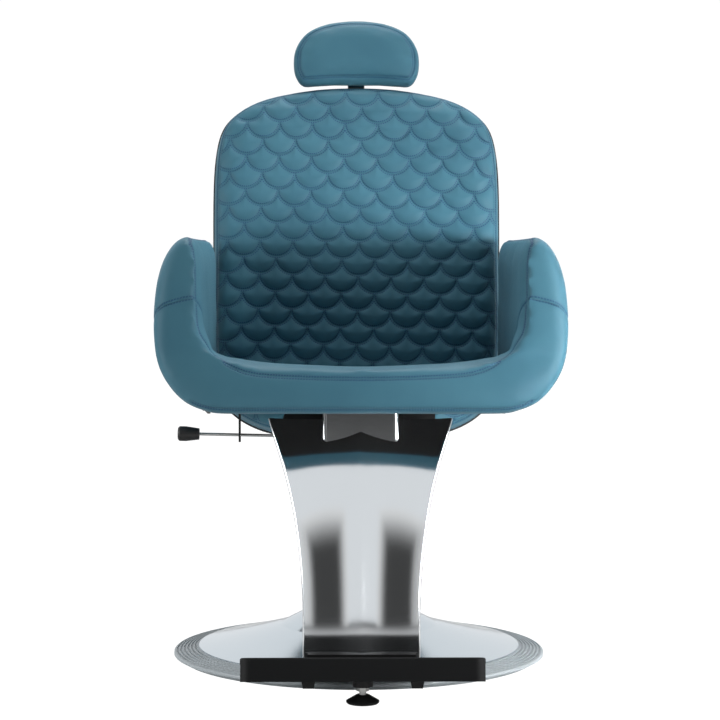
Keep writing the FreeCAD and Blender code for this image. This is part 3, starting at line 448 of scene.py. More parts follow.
@dataclass(frozen=True)
class Moulded:
    """Rubber, plastic or paint with a fine orange-peel skin."""

    colour: Colour = (0.02, 0.02, 0.022)
    roughness: float = 0.5
    peel: float = 0.0001
    size: float = 420.0
    dust: float = 0.15
    shine: float = 0.5

    def material(self, name: str) -> bpy.types.Material:
        """Build the material.

        Args:
            name: Its name.

        Returns:
            The material.
        """
        tree = Tree(name)
        where = tree.place()
        skin = tree.noise(where, self.size, 3.0, 0.55)
        cloud = tree.noise(where, 22.0, 4.0, 0.6)
        pale = tuple(min(1.0, level * 1.6 + 0.01) for level in self.colour)
        shade = tree.mix(cloud * self.dust, self.colour, pale)
        rough = self.roughness + cloud * 0.12
        return tree.finish(Base_Color=shade, Roughness=rough,
                           Normal=tree.bump(skin, self.peel, 0.6),
                           Specular_IOR_Level=self.shine)


@dataclass(frozen=True)
class Timber:
    """Sawn plywood, grain across the chair."""

    pale: Colour = linear(196, 164, 118)
    dark: Colour = linear(150, 112, 70)

    def material(self, name: str) -> bpy.types.Material:
        """Build the material.

        Args:
            name: Its name.

        Returns:
            The material.
        """
        tree = Tree(name)
        where = tree.place()
        drawn = tree.node("ShaderNodeMapping", inputs={"Vector": where,
                                                       "Scale": (1.0, 12.0, 12.0)})
        grain = tree.noise(drawn, 18.0, 6.0, 0.65)
        shade = tree.mix(tree.step(grain, 0.35, 0.7), self.pale, self.dark)
        return tree.finish(Base_Color=shade, Roughness=0.6 + grain * 0.2,
                           Normal=tree.bump(grain, 0.0003, 0.5))


class Finish(Enum):
    """Every finish on the chair, by what a maker calls it."""

    LEATHER = Leather()
    QUILTED = Leather(quilt=Quilt.SCALES)
    PLYWOOD = Timber()
    BLACK_PAINT = Moulded(linear(11, 11, 12), 0.42, 0.00008, 500.0, dust=0.05,
                          shine=0.3)
    GREY_RUBBER = Moulded(linear(180, 188, 192), 0.34, 0.00006, 700.0, dust=0.3)
    BLACK_RUBBER = Moulded(linear(14, 15, 16), 0.50, 0.00010, 650.0, dust=0.06,
                           shine=0.15)
    WELT = Moulded(linear(14, 20, 24), 0.6, 0.00008, 700.0)
    BLACK_PLASTIC = Moulded(linear(14, 14, 14), 0.38, 0.00004, 800.0)
    CAST_IRON = Moulded(linear(48, 48, 48), 0.7, 0.0004, 300.0)
    SPUN_CHROME = Metal(linear(214, 222, 227), 0.10, grain=0.03, blotch=0.01)
    HARD_CHROME = Metal(linear(222, 224, 226), 0.05)
    POLISHED = Metal(linear(226, 229, 231), 0.06, grain=0.04, blotch=0.02,
                     stretch=(12.0, 1.0, 1.0))
    ZINC = Metal(linear(190, 190, 188), 0.28, grain=0.08, blotch=0.08)
    BRASS = Metal(linear(196, 160, 92), 0.25, grain=0.06, blotch=0.05)


@dataclass
class Wardrobe:
    """The materials, each made once."""

    made: dict[Finish, bpy.types.Material] = field(default_factory=dict)

    def get(self, finish: Finish) -> bpy.types.Material:
        """The material of a finish."""
        if finish not in self.made:
            self.made[finish] = finish.value.material(finish.name.lower())
        return self.made[finish]

    def dress(self, piece: bpy.types.Object, finish: Finish) -> None:
        """Give a piece one finish all over."""
        piece.data.materials.clear()
        piece.data.materials.append(self.get(finish))


# ---------------------------------------------------------------- modelling


class Bench:
    """The modelling tools that every sub-assembly uses."""

    cloth_frames = 20

    @staticmethod
    def only(piece: bpy.types.Object) -> None:
        """Select one piece and make it active."""
        if bpy.context.mode != "OBJECT":
            bpy.ops.object.mode_set(mode="OBJECT")
        bpy.ops.object.select_all(action="DESELECT")
        piece.select_set(True)
        bpy.context.view_layer.objects.active = piece

    @staticmethod
    def clear() -> None:
        """Deselect everything."""
        bpy.ops.object.select_all(action="DESELECT")

    @classmethod
    def copy_of(cls, node: str, name: str) -> bpy.types.Object:
        """A merged copy of a CAD node's mesh.

        Args:
            node: The node.
            name: The copy's name.

        Returns:
            The copy.
        """
        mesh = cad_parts[node].data.copy()
        mesh.name = name
        piece = bpy.data.objects.new(name, mesh)
        bpy.context.scene.collection.objects.link(piece)
        cls.only(piece)
        bpy.ops.object.mode_set(mode="EDIT")
        bpy.ops.mesh.select_all(action="SELECT")
        bpy.ops.mesh.remove_doubles(threshold=0.00002)
        bpy.ops.mesh.normals_make_consistent(inside=False)
        bpy.ops.object.mode_set(mode="OBJECT")
        return piece

    @classmethod
    def loft(cls, name: str, rings: Sequence[np.ndarray]) -> bpy.types.Object:
        """Extrude a closed ring through a row of places.

        Args:
            name: The piece's name.
            rings: Points of every ring, in order.

        Returns:
            A closed form.
        """
        cls.clear()
        count = len(rings[0])
        bpy.ops.mesh.primitive_circle_add(vertices=count, radius=1.0, fill_type="NGON")
        piece = bpy.context.active_object
        piece.name = name
        piece.data.name = name
        for vertex, spot in zip(piece.data.vertices, rings[0]):
            vertex.co = spot
        bpy.ops.object.mode_set(mode="EDIT")
        bpy.ops.mesh.select_mode(type="VERT")
        bpy.ops.mesh.select_all(action="SELECT")
        for before, after in zip(rings, rings[1:]):
            bpy.ops.mesh.extrude_region_move()
            form = bmesh.from_edit_mesh(piece.data)
            for vertex in form.verts:
                if vertex.select:
                    away = ((before - np.array(tuple(vertex.co))) ** 2).sum(axis=1)
                    vertex.co = Vector(after[int(away.argmin())])
            bmesh.update_edit_mesh(piece.data)
        bpy.ops.mesh.select_all(action="SELECT")
        bpy.ops.mesh.normals_make_consistent(inside=False)
        bpy.ops.object.mode_set(mode="OBJECT")
        return piece

    @classmethod
    def modify(cls, piece: bpy.types.Object, kind: str, **settings: Any) -> None:
        """Add a modifier and apply it.

        Args:
            piece: The piece.
            kind: The modifier's type.
            settings: Its properties.
        """
        cls.only(piece)
        made = piece.modifiers.new(kind.lower(), kind)
        for key, value in settings.items():
            setattr(made, key, value)
        bpy.ops.object.modifier_apply(modifier=made.name)

    @staticmethod
    def places(piece: bpy.types.Object) -> np.ndarray:
        """The points of a mesh."""
        flat = np.zeros(len(piece.data.vertices) * 3)
        piece.data.vertices.foreach_get("co", flat)
        return flat.reshape(-1, 3)

    @staticmethod
    def normals(piece: bpy.types.Object) -> np.ndarray:
        """The normals at the points of a mesh."""
        flat = np.zeros(len(piece.data.vertices) * 3, np.float32)
        piece.data.vertices.foreach_get("normal", flat)
        return flat.reshape(-1, 3).astype(float)

    @staticmethod
    def put(piece: bpy.types.Object, places: np.ndarray) -> None:
        """Move the points of a mesh."""
        piece.data.vertices.foreach_set("co", places.astype(np.float32).ravel())
        piece.data.update()

    @staticmethod
    def carry(piece: bpy.types.Object, name: str, values: np.ndarray) -> None:
        """Give the mesh a number at every point."""
        made = piece.data.attributes.get(name) or piece.data.attributes.new(
            name, "FLOAT", "POINT")
        made.data.foreach_set("value", values.astype(np.float32))

    @classmethod
    def fill_out(cls, piece: bpy.types.Object, shrink: float, cap: float,
                 pressure: float, still: Callable[[np.ndarray], np.ndarray]) -> None:
        """Swell a form as foam swells its cover.

        Args:
            piece: The form, evenly meshed.
            shrink: How far it is drawn in first, in metres.
            cap: The most that a point may move.
            pressure: The cloth's inner pressure.
            still: Says which points rest on something and stay.
        """
        start = cls.places(piece)
        fixed = still(start)
        start = start - cls.normals(piece) * (shrink * (1 - fixed))[:, None]
        cls.put(piece, start)
        cls.only(piece)
        group = piece.vertex_groups.new(name="rest")
        for here in np.nonzero(fixed > 0.5)[0]:
            group.add([int(here)], 1.0, "REPLACE")
        made = piece.modifiers.new("foam", "CLOTH")
        cloth = made.settings
        for key, value in (("quality", 3), ("mass", 0.25), ("tension_stiffness", 18),
                           ("compression_stiffness", 18), ("shear_stiffness", 8),
                           ("bending_stiffness", 0.8), ("use_pressure", True),
                           ("uniform_pressure_force", pressure),
                           ("vertex_group_mass", "rest")):
            setattr(cloth, key, value)
        cloth.effector_weights.gravity = 0
        made.point_cache.frame_start = 1
        made.point_cache.frame_end = cls.cloth_frames
        scene = bpy.context.scene
        for count in range(1, cls.cloth_frames + 1):
            scene.frame_set(count)
        bpy.ops.object.modifier_apply(modifier=made.name)
        scene.frame_set(1)
        move = cls.places(piece) - start
        length = np.linalg.norm(move, axis=1)
        share = np.minimum(1.0, cap / np.maximum(length, 1e-9))
        cls.put(piece, start + move * share[:, None])
        piece.vertex_groups.clear()

    @classmethod
    def soften(cls, piece: bpy.types.Object, times: int = 4) -> None:
        """Even out the small waves of a remeshed form."""
        cls.modify(piece, "SMOOTH", factor=0.5, iterations=times)

    @classmethod
    def plump(cls, piece: bpy.types.Object, voxel: float, foam: tuple[float, float, float],
              still: Callable[[np.ndarray], np.ndarray], times: int) -> None:
        """Mesh a form evenly, swell it, even it out and refine it.

        Args:
            piece: The form.
            voxel: How fine it is meshed.
            foam: How far it is drawn in first, the most a point may move, and the pressure.
            still: Says which points rest on something and stay.
            times: How often it is evened out.
        """
        cls.modify(piece, "REMESH", mode="VOXEL", voxel_size=voxel)
        cls.fill_out(piece, *foam, still)
        cls.soften(piece, times)
        cls.modify(piece, "SUBSURF", levels=1, render_levels=1)

    @classmethod
    def smooth(cls, piece: bpy.types.Object) -> None:
        """Shade a piece smooth."""
        cls.only(piece)
        bpy.ops.object.shade_smooth()


class Outline:
    """A smooth closed curve through a few points, in a flat view."""

    def __init__(self, points: Sequence[Point2], count: int = 160) -> None:
        """Fit the curve and space its points evenly.

        Args:
            points: Corners of the outline, in order.
            count: How many even points it gets.
        """
        spots = np.array(points, float)
        size = len(spots)
        step = np.linalg.norm(np.roll(spots, -1, axis=0) - spots, axis=1)
        grid = np.zeros((size, size))
        right = np.zeros((size, 2))
        slope = (np.roll(spots, -1, axis=0) - spots) / step[:, None]
        for here in range(size):
            last = (here - 1) % size
            grid[here, last] = step[last]
            grid[here, here] = 2 * (step[last] + step[here])
            grid[here, (here + 1) % size] = step[here]
            right[here] = 6 * (slope[here] - slope[last])
        bend = np.linalg.solve(grid, right)
        fine, ways = [], []
        for here in range(size):
            after = (here + 1) % size
            for part in np.arange(0, 1, 1 / 40):
                a, b = 1 - part, part
                h = step[here]
                spot = (a * spots[here] + b * spots[after]
                        + ((a ** 3 - a) * bend[here] + (b ** 3 - b) * bend[after]) * h * h / 6)
                way = (slope[here] + (-(3 * a * a - 1) * bend[here]
                                      + (3 * b * b - 1) * bend[after]) * h / 6)
                fine.append(spot)
                ways.append(way)
        fine, ways = np.array(fine), np.array(ways)
        length = np.concatenate([[0], np.cumsum(
            np.linalg.norm(np.roll(fine, -1, axis=0) - fine, axis=1))])
        want = length[-1] * np.arange(count) / count
        closed = np.vstack([fine, fine[:1]])
        turned = np.vstack([ways, ways[:1]])
        self.spots = np.stack([np.interp(want, length, closed[:, k]) for k in (0, 1)], 1)
        way = np.stack([np.interp(want, length, turned[:, k]) for k in (0, 1)], 1)
        self.ways = way / np.linalg.norm(way, axis=1)[:, None]

    def inset(self, amount: float) -> np.ndarray:
        """The outline drawn in by an amount."""
        inward = np.stack([-self.ways[:, 1], self.ways[:, 0]], 1)
        return self.spots + inward * amount


def rounded(share: float) -> float:
    """How far an edge is drawn in, at a share of the way into its rounding."""
    return 1 - math.sqrt(max(0.0, 1 - (1 - share) ** 2))


def mirrored(half: Sequence[Point2], top: Optional[Point2] = None) -> list[Point2]:
    """Complete an outline from its right half, which starts on the middle line."""
    points = list(half)
    left = [(-x, v) for x, v in half[1:][::-1]]
    return points + ([top] if top else []) + left


class Seams:
    """Sewn seams on a piece: a drawn-in line with a row of stitches on each side."""

    def __init__(self, piece: bpy.types.Object) -> None:
        """Take the piece's surface as it is now.

        Args:
            piece: The piece.
        """
        self.piece = piece
        bpy.context.view_layer.update()
        self.tree = BVHTree.FromObject(piece, bpy.context.evaluated_depsgraph_get())
        spots = Bench.places(piece)
        self.gap = np.full(len(spots), 1.0)
        self.run = np.zeros(len(spots))

    def cast(self, start: Vector, way: Vector) -> Optional[Vector]:
        """Where a line first meets the surface."""
        return self.tree.ray_cast(start, way)[0]

    def add_line(self, line: Sequence[Vector], closed: bool = False) -> None:
        """Sew along a line on the surface.

        Args:
            line: Points on the surface, in order.
            closed: Whether the line ends where it starts.
        """
        spots = Bench.places(self.piece)
        points = np.array([tuple(spot) for spot in line])
        ends = np.roll(points, -1, axis=0) if closed else points[1:]
        starts = points if closed else points[:-1]
        low, high = points.min(0) - 0.02, points.max(0) + 0.02
        near = np.nonzero(((spots > low) & (spots < high)).all(axis=1))[0]
        run = 0.0
        for start, end in zip(starts, ends):
            way = end - start
            length = float(np.linalg.norm(way))
            if length < 1e-6:
                continue
            middle = (start + end) / 2
            close = near[np.linalg.norm(spots[near] - middle, axis=1) < length / 2 + 0.02]
            part = np.clip((spots[close] - start) @ way / length ** 2, 0, 1)
            away = np.linalg.norm(spots[close] - start - part[:, None] * way, axis=1)
            better = away < self.gap[close]
            self.gap[close[better]] = away[better]
            self.run[close[better]] = run + part[better] * length
            run += length

    def add_plane(self, spot: Vector, normal: Vector, side: int,
                  run: Callable[[np.ndarray], np.ndarray]) -> None:
        """Sew along a flat cut through one side of the piece.

        Args:
            spot: A place on the cut.
            normal: The cut's normal.
            side: -1 for the left half, 1 for the right.
            run: Gives the way along the seam from places.
        """
        spots = Bench.places(self.piece)
        away = np.abs((spots - np.array(spot)) @ np.array(normal))
        better = (away < self.gap) & (spots[:, 0] * side > 0)
        self.gap[better] = away[better]
        self.run[better] = run(spots)[better]

    def sew(self, depth: float, width: float = 0.0032) -> None:
        """Draw the surface in along the seams and leave the stitches to the finish.

        Args:
            depth: How far the seam is drawn in.
            width: How far from the seam the cover is back at its height.
        """
        spots = Bench.places(self.piece)
        normal = Bench.normals(self.piece)
        sink = depth * np.exp(-(self.gap / width) ** 2)
        Bench.put(self.piece, spots - normal * sink[:, None])
        Bench.carry(self.piece, "seam_gap", self.gap)
        Bench.carry(self.piece, "seam_run", self.run)


# ---------------------------------------------------------------- sub-assemblies


@dataclass
class SubAssembly:
    """One part of the chair that is built and dressed together."""

    wardrobe: Wardrobe

    def hand_over(self, piece: bpy.types.Object, body: str, slot: str, finish: Finish,
                  *nodes: str, fill: Optional[float] = None) -> None:
        """Finish a piece: dress it, tie it to its body and hide the nodes that it stands for.

        Args:
            piece: The piece.
            body: The body that it rides on.
            slot: The record's material slot; not used.
            finish: Its finish.
            nodes: The nodes that it stands for.
            fill: How full it is, if it is padded; not used.
        """
        Bench.smooth(piece)
        self.wardrobe.dress(piece, finish)
        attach(piece, body)
        if nodes:
            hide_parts(*nodes)
        log.info("%s: %d points", piece.name, len(piece.data.vertices))


@dataclass
class SeatBand(SubAssembly):
    """The padded front roll and the two arms that grow out of it."""

    half_width: float = 0.316
    bottom: float = 0.4185
    top: float = 0.693
    front: float = -0.296
    front_lean: float = 0.056
    rear: float = 0.230
    rear_lean: float = 0.043
    roll_depth: float = 0.088
    cavity_half: float = 0.249
    ledge_half: float = 0.199
    ledge_top: float = 0.443
    front_round: float = 0.016
    front_swell: float = 0.036
    rear_round: float = 0.012
    rear_swell: float = 0.016
    seam_height: float = 0.625
    seam_slope_deg: float = 36.0
    seam_tilt_deg: float = 17.0
    seam_side: float = 0.285
    seam_depth: float = 0.0016
    arm_seam_x: float = 0.2640
    arm_seam_y: tuple[float, float] = (-0.236, 0.262)
    edge_seam_inset: float = 0.0085
    edge_seam_top: float = 0.440
    voxel: float = 0.0060

    def outline(self) -> Outline:
        """The band's outline from the front."""
        outer = [(0.35, 0.0), (0.64, 0.0), (0.768, 0.015), (0.843, 0.057), (0.911, 0.132),
                 (0.9615, 0.228), (0.99, 0.35), (1.0, 0.51), (0.993, 0.70), (0.972, 0.842),
                 (0.930, 0.955), (0.870, 1.012)]
        inner = [(0.817, 1.005), (0.7945, 0.925), (0.792, 0.78), (0.7915, 0.60),
                 (0.777, 0.475), (0.742, 0.395), (0.68, 0.33), (0.60, 0.295),
                 (0.45, 0.27), (0.22, 0.256)]
        height = self.top - self.bottom
        half = [(x * self.half_width, z * height) for x, z in [(0.0, 0.0)] + outer + inner]
        return Outline(mirrored(half, (0.0, 0.248 * height)), 240)

    def form(self) -> bpy.types.Object:
        """The whole band as one closed form."""
        outline = self.outline()
        height = self.top - self.bottom
        stations = [(s, self.front, self.front_lean, self.front_round, self.front_swell)
                    for s in ROUND_SHARES]
        stations += [(s, self.rear, self.rear_lean, self.rear_round, -self.rear_swell)
                     for s in ROUND_SHARES[::-1]]
        rings = []
        for share, start, lean, radius, swell in stations:
            flat = outline.inset(radius * rounded(share))
            rings.append(np.stack([
                flat[:, 0], start + lean * flat[:, 1] / height + share * swell,
                self.bottom + flat[:, 1]], 1))
        piece = Bench.loft("band_form", rings)
        depth, rise = 0.9, 0.6
        for half, low in ((self.cavity_half, self.ledge_top),
                          (self.ledge_half, self.bottom - 0.05)):
            Bench.clear()
            bpy.ops.mesh.primitive_cube_add(size=1.0, location=(
                0, self.front + self.roll_depth + depth / 2, low + rise / 2))
            block = bpy.context.active_object
            block.scale = (2 * half, depth, rise)
            bpy.ops.object.transform_apply(location=True, rotation=True, scale=True)
            Bench.modify(piece, "BOOLEAN", operation="DIFFERENCE", object=block,
                         solver="EXACT")
            bpy.data.objects.remove(block)
        return piece

    def seam_points(self) -> list[Vector]:
        """The double seam round the front panel, as seen from the front."""
        half = [(0.0, 0.4740), (0.06, 0.4750), (0.1169, 0.4770), (0.150, 0.4790),
                (0.1745, 0.4815), (0.2049, 0.4937), (0.2307, 0.5149), (0.2430, 0.5320),
                (0.2500, 0.5480), (0.2545, 0.5954), (0.2545, 0.6454), (0.2565, 0.6650),
                (0.2620, 0.6820)]
        return [Vector((-x, 0, z)) for x, z in half[::-1]] + [
            Vector((x, 0, z)) for x, z in half[1:]]

    def seam_plane(self, side: int) -> tuple[Vector, Vector]:
        """The flat cut between the roll and one arm.

        Args:
            side: -1 for the left arm, 1 for the right.

        Returns:
            A place on the cut and its upward normal.
        """
        normal = Vector((side * math.tan(math.radians(self.seam_tilt_deg)),
                         math.tan(math.radians(self.seam_slope_deg)), 1.0))
        return (Vector((side * self.seam_side, self.front - 0.005, self.seam_height)),
                normal.normalized())

    def sew(self, piece: bpy.types.Object) -> None:
        """Add the seams of the band."""
        seams = Seams(piece)
        front = Vector((0, 1, 0))
        down = Vector((0, 0, -1))
        line = []
        for spot in self.even(self.seam_points(), 0.006):
            hit = seams.cast(Vector((spot.x, -1, spot.z)), front)
            if hit:
                line.append(hit)
        for side, end in ((-1, 0), (1, len(line))):
            over = []
            for y in np.linspace(*self.arm_seam_y, 60):
                hit = seams.cast(Vector((side * self.arm_seam_x, float(y), 1)), down)
                if hit:
                    over.append(hit)
            line = over[::-1] + line if end == 0 else line + over
        seams.add_line(self.even(line))
        outline = self.outline()
        edge = []
        flat = outline.inset(self.edge_seam_inset)
        count = len(flat)
        order = [(here + count // 2) % count for here in range(count)]
        for here in order:
            x, z = flat[here]
            z += self.bottom
            if z < self.edge_seam_top:
                hit = seams.cast(Vector((x, -1, z)), front)
                if hit:
                    edge.append(hit)
        seams.add_line(self.even(edge))
        for side in (-1, 1):
            spot, normal = self.seam_plane(side)
            seams.add_plane(spot, normal, side,
                            lambda spots: np.abs(spots[:, 0]) + spots[:, 1])
        seams.sew(self.seam_depth)

    @staticmethod
    def even(line: Sequence[Vector], step: float = 0.008) -> list[Vector]:
        """Round a line's corners and space its points."""
        points = np.array([tuple(spot) for spot in line])
        length = np.concatenate([[0], np.cumsum(np.linalg.norm(np.diff(points, axis=0), axis=1))])
        want = np.linspace(0, length[-1], max(2, int(length[-1] / step)))
        spaced = np.stack([np.interp(want, length, points[:, k]) for k in range(3)], 1)
        for _ in range(6):
            spaced[1:-1] = (spaced[:-2] + 2 * spaced[1:-1] + spaced[2:]) / 4
        return [Vector(spot) for spot in spaced]

    @staticmethod
    def select_half(piece: bpy.types.Object, side: int) -> None:
        """Select what lies on one side of the chair's middle, in edit mode.

        Args:
            piece: The piece that is edited.
            side: -1 for the left half, 1 for the right.
        """
        bpy.ops.mesh.select_all(action="DESELECT")
        form = bmesh.from_edit_mesh(piece.data)
        for vertex in form.verts:
            vertex.select = vertex.co.x * side > 0
        form.select_flush_mode()
        bmesh.update_edit_mesh(piece.data)

    def build(self) -> None:
        """Build the band and cut it into the roll and the arms."""
        piece = self.form()
        Bench.plump(piece, self.voxel, (0.0015, 0.006, 4.0), lambda spots: (
            (spots[:, 2] < self.bottom + 0.003)
            | ((np.abs(spots[:, 0]) < self.cavity_half + 0.002)
               & (spots[:, 1] > self.front + self.roll_depth - 0.003)
               & (spots[:, 2] < self.ledge_top + 0.012))).astype(float), 16)
        self.sew(piece)
        jobs = (("front_roll", "seat_front_band", True, 0),
                ("arm_left", "arm_pad_left", False, -1),
                ("arm_right", "arm_pad_right", False, 1))
        for name, node, below, side in jobs:
            part = piece.copy()
            part.data = piece.data.copy()
            part.name = name
            part.data.name = name
            bpy.context.scene.collection.objects.link(part)
            Bench.only(part)
            bpy.ops.object.mode_set(mode="EDIT")
            for cut in (side,) if side else (-1, 1):
                spot, normal = self.seam_plane(cut)
                self.select_half(part, cut)
                bpy.ops.mesh.bisect(plane_co=spot, plane_no=normal, use_fill=True,
                                    clear_outer=below, clear_inner=not below)
            if side:
                self.select_half(part, -side)
                bpy.ops.mesh.delete(type="VERT")
            bpy.ops.object.mode_set(mode="OBJECT")
            self.hand_over(part, "seat", "teal_leather", Finish.LEATHER, node, fill=0.9)
        bpy.data.objects.remove(piece)


@dataclass
class SeatCushion(SubAssembly):
    """The loose cushion between the arms."""

    voxel: float = 0.008
    seam_inset: float = 0.020

    def build(self) -> None:
        """Build the cushion."""
        low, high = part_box("seat_cushion")
        piece = Bench.copy_of("seat_cushion", "seat_pad")
        Bench.plump(piece, self.voxel, (0.002, 0.006, 4.0),
                    lambda spots: (spots[:, 2] < low.z + 0.004).astype(float), 4)
        seams = Seams(piece)
        line = []
        inset = self.seam_inset
        corners = [(-1, 0), (1, 0), (1, 1), (-1, 1)]
        spots = [(low.x + inset if x < 0 else high.x - inset,
                  low.y + inset if y == 0 else high.y - inset) for x, y in corners]
        for here, start in enumerate(spots):
            end = spots[(here + 1) % 4]
            for part in np.linspace(0, 1, 24, endpoint=False):
                x = start[0] + (end[0] - start[0]) * part
                y = start[1] + (end[1] - start[1]) * part
                hit = seams.cast(Vector((x, y, 1)), Vector((0, 0, -1)))
                if hit:
                    line.append(hit)
        seams.add_line(line, closed=True)
        seams.sew(0.0016)
        self.hand_over(piece, "seat", "teal_leather", Finish.LEATHER, "seat_cushion", fill=0.85)


@dataclass
class Backrest(SubAssembly):
    """The quilted back, its rear shell and the headrest above it."""

    pivot_y = 0.306
    pivot_z = 0.395
    lean_deg = 9.0
    pivot_height = 0.073
    pivot_depth = 0.075
    length: float = 0.647
    half_width: float = 0.2585
    pad_depth: float = 0.050
    round_in: float = 0.018
    swell: float = 0.024
    rear_edge: float = 0.010
    rear_edge_inset: float = 0.003
    seam_inset: float = 0.0105
    voxel: float = 0.006
    shell_voxel: float = 0.008
    shell_front: float = 0.0655
    shell_seam_inset: float = 0.016
    head_voxel: float = 0.005
    cover_voxel: float = 0.0035
    head_half: float = 0.1142
    head_height: float = 0.1154
    head_gap: float = 0.0012
    cast_from: float = 0.3

    def outline(self) -> Outline:
        """The back's outline."""
        side = [(0.25, 0.004), (0.5, 0.0195), (0.681, 0.0393), (0.835, 0.0734), (0.93, 0.115),
                (0.976, 0.172), (1.0, 0.285)]
        rise = side + [(1.0, 0.5)] + [(x, 1 - v) for x, v in side[::-1]]
        half = [(x * self.half_width, v * self.length) for x, v in [(0.0, 0.0)] + rise]
        return Outline(mirrored(half, (0.0, self.length)), 260)

    def head_outline(self) -> Outline:
        """The headrest's outline."""
        half = [(0.0, 0.0), (0.28, -0.004), (0.52, -0.02), (0.74, -0.04), (0.865, -0.03),
                (0.935, 0.05), (0.985, 0.16), (1.0, 0.31), (0.985, 0.49), (0.92, 0.645),
                (0.81, 0.785), (0.65, 0.885), (0.42, 0.958), (0.2, 0.992)]
        points = [(x * self.head_half, v * self.head_height) for x, v in half]
        return Outline(mirrored(points, (0.0, self.head_height)), 180)

    def spot(self, x: float, depth: float, along: float) -> Vector:
        """A place in the chair from a place on the upright back."""
        turn = math.radians(self.lean_deg)
        y = depth - self.pivot_depth
        z = along - self.pivot_height
        return Vector((x, self.pivot_y + y * math.cos(turn) + z * math.sin(turn),
                       self.pivot_z - y * math.sin(turn) + z * math.cos(turn)))

    def upright(self, spots: np.ndarray) -> tuple[np.ndarray, np.ndarray]:
        """Depth and height on the upright back of places in the chair."""
        turn = math.radians(self.lean_deg)
        y, z = spots[:, 1] - self.pivot_y, spots[:, 2] - self.pivot_z
        depth = y * math.cos(turn) - z * math.sin(turn) + self.pivot_depth
        along = y * math.sin(turn) + z * math.cos(turn) + self.pivot_height
        return depth, along

    def seam_ring(self, seams: Seams, outline: Outline, inset: float,
                  lift: float = 0.0, side: int = -1) -> list[Vector]:
        """A seam at an even distance inside an outline.

        Args:
            seams: The seams of the piece.
            outline: The outline.
            inset: The distance.
            lift: How high the outline starts.
            side: -1 for the front face, 1 for the rear.

        Returns:
            Points on the surface.
        """
        turn = math.radians(self.lean_deg)
        way = Vector((0, -math.cos(turn), math.sin(turn))) * side
        line = []
        for x, along in outline.inset(inset):
            hit = seams.cast(self.spot(x, self.cast_from * side, along + lift), way)
            if hit:
                line.append(hit)
        return line

    def quilted_pad(self) -> None:
        """The front pad with its scales."""
        outline = self.outline()
        stations = [(s * self.swell, self.round_in * rounded(s)) for s in ROUND_SHARES]
        stations += [(self.pad_depth - self.rear_edge, 0.0),
                     (self.pad_depth, self.rear_edge_inset)]
        rings = [np.array([tuple(self.spot(x, depth, along))
                           for x, along in outline.inset(inset)])
                 for depth, inset in stations]
        piece = Bench.loft("back_pad", rings)
        Bench.plump(piece, self.voxel, (0.0015, 0.005, 4.0), lambda spots: (
            self.upright(spots)[0] > self.pad_depth - 0.004).astype(float), 5)
        self.puff(piece, outline)
        seams = Seams(piece)
        seams.add_line(self.seam_ring(seams, outline, self.seam_inset), closed=True)
        seams.sew(0.0018)
        self.hand_over(piece, "back", "teal_leather", Finish.QUILTED, "back_cushion", fill=0.9)

    def puff(self, piece: bpy.types.Object, outline: Outline) -> None:
        """Raise every scale between its stitched arcs.

        Args:
            piece: The front pad.
            outline: The back's outline.
        """
        spots = Bench.places(piece)
        normal = Bench.normals(piece)
        along = self.upright(spots)[1]
        turn = math.radians(self.lean_deg)
        facing = -(normal[:, 1] * math.cos(turn) - normal[:, 2] * math.sin(turn))
        edge = outline.inset(self.seam_inset)
        inside = self.inward(edge, spots[:, 0], along)
        share = np.clip((inside - 0.001) / 0.012, 0, 1) * np.clip((facing - 0.3) / 0.4, 0, 1)
        pattern = ScalePattern()
        gap = pattern.height(spots[:, 0], along)
        reach = (gap / pattern.relief_reach) ** pattern.relief_power
        rise = pattern.relief * (1 - np.exp(-reach)) - pattern.sink
        Bench.put(piece, spots + normal * (rise * share)[:, None])
        Bench.carry(piece, "quilt", ((inside > 0.0005) & (facing > 0.3)).astype(float))

    @staticmethod
    def inward(edge: np.ndarray, x: np.ndarray, v: np.ndarray) -> np.ndarray:
        """How far inside a closed line each place is; negative outside.

        Args:
            edge: The line's points.
            x: Places across.
            v: Places up.

        Returns:
            The distances.
        """
        nearest = np.full(len(x), 9.0)
        crossings = np.zeros(len(x), int)
        for here in range(len(edge)):
            x0, v0 = edge[here - 1]
            x1, v1 = edge[here]
            wx, wv = x1 - x0, v1 - v0
            part = np.clip(((x - x0) * wx + (v - v0) * wv) / (wx * wx + wv * wv), 0, 1)
            nearest = np.minimum(nearest, np.hypot(x - x0 - part * wx, v - v0 - part * wv))
            if v0 != v1:
                crossings += ((v0 > v) != (v1 > v)) & (x < x0 + (v - v0) * wx / wv)
        return np.where(crossings % 2 == 1, nearest, -nearest)

    def shell(self) -> None:
        """The padded rear of the back."""
        piece = Bench.copy_of("back_shell", "rear_shell")
        Bench.plump(piece, self.shell_voxel, (0.001, 0.004, 3.0), lambda spots: (
            self.upright(spots)[0] < self.shell_front).astype(float), 3)
        seams = Seams(piece)
        line = self.seam_ring(seams, self.outline(), self.shell_seam_inset, side=1)
        seams.add_line(line, closed=True)
        seams.sew(0.0016)
        self.hand_over(piece, "back", "teal_leather", Finish.LEATHER, "back_shell", fill=0.8)

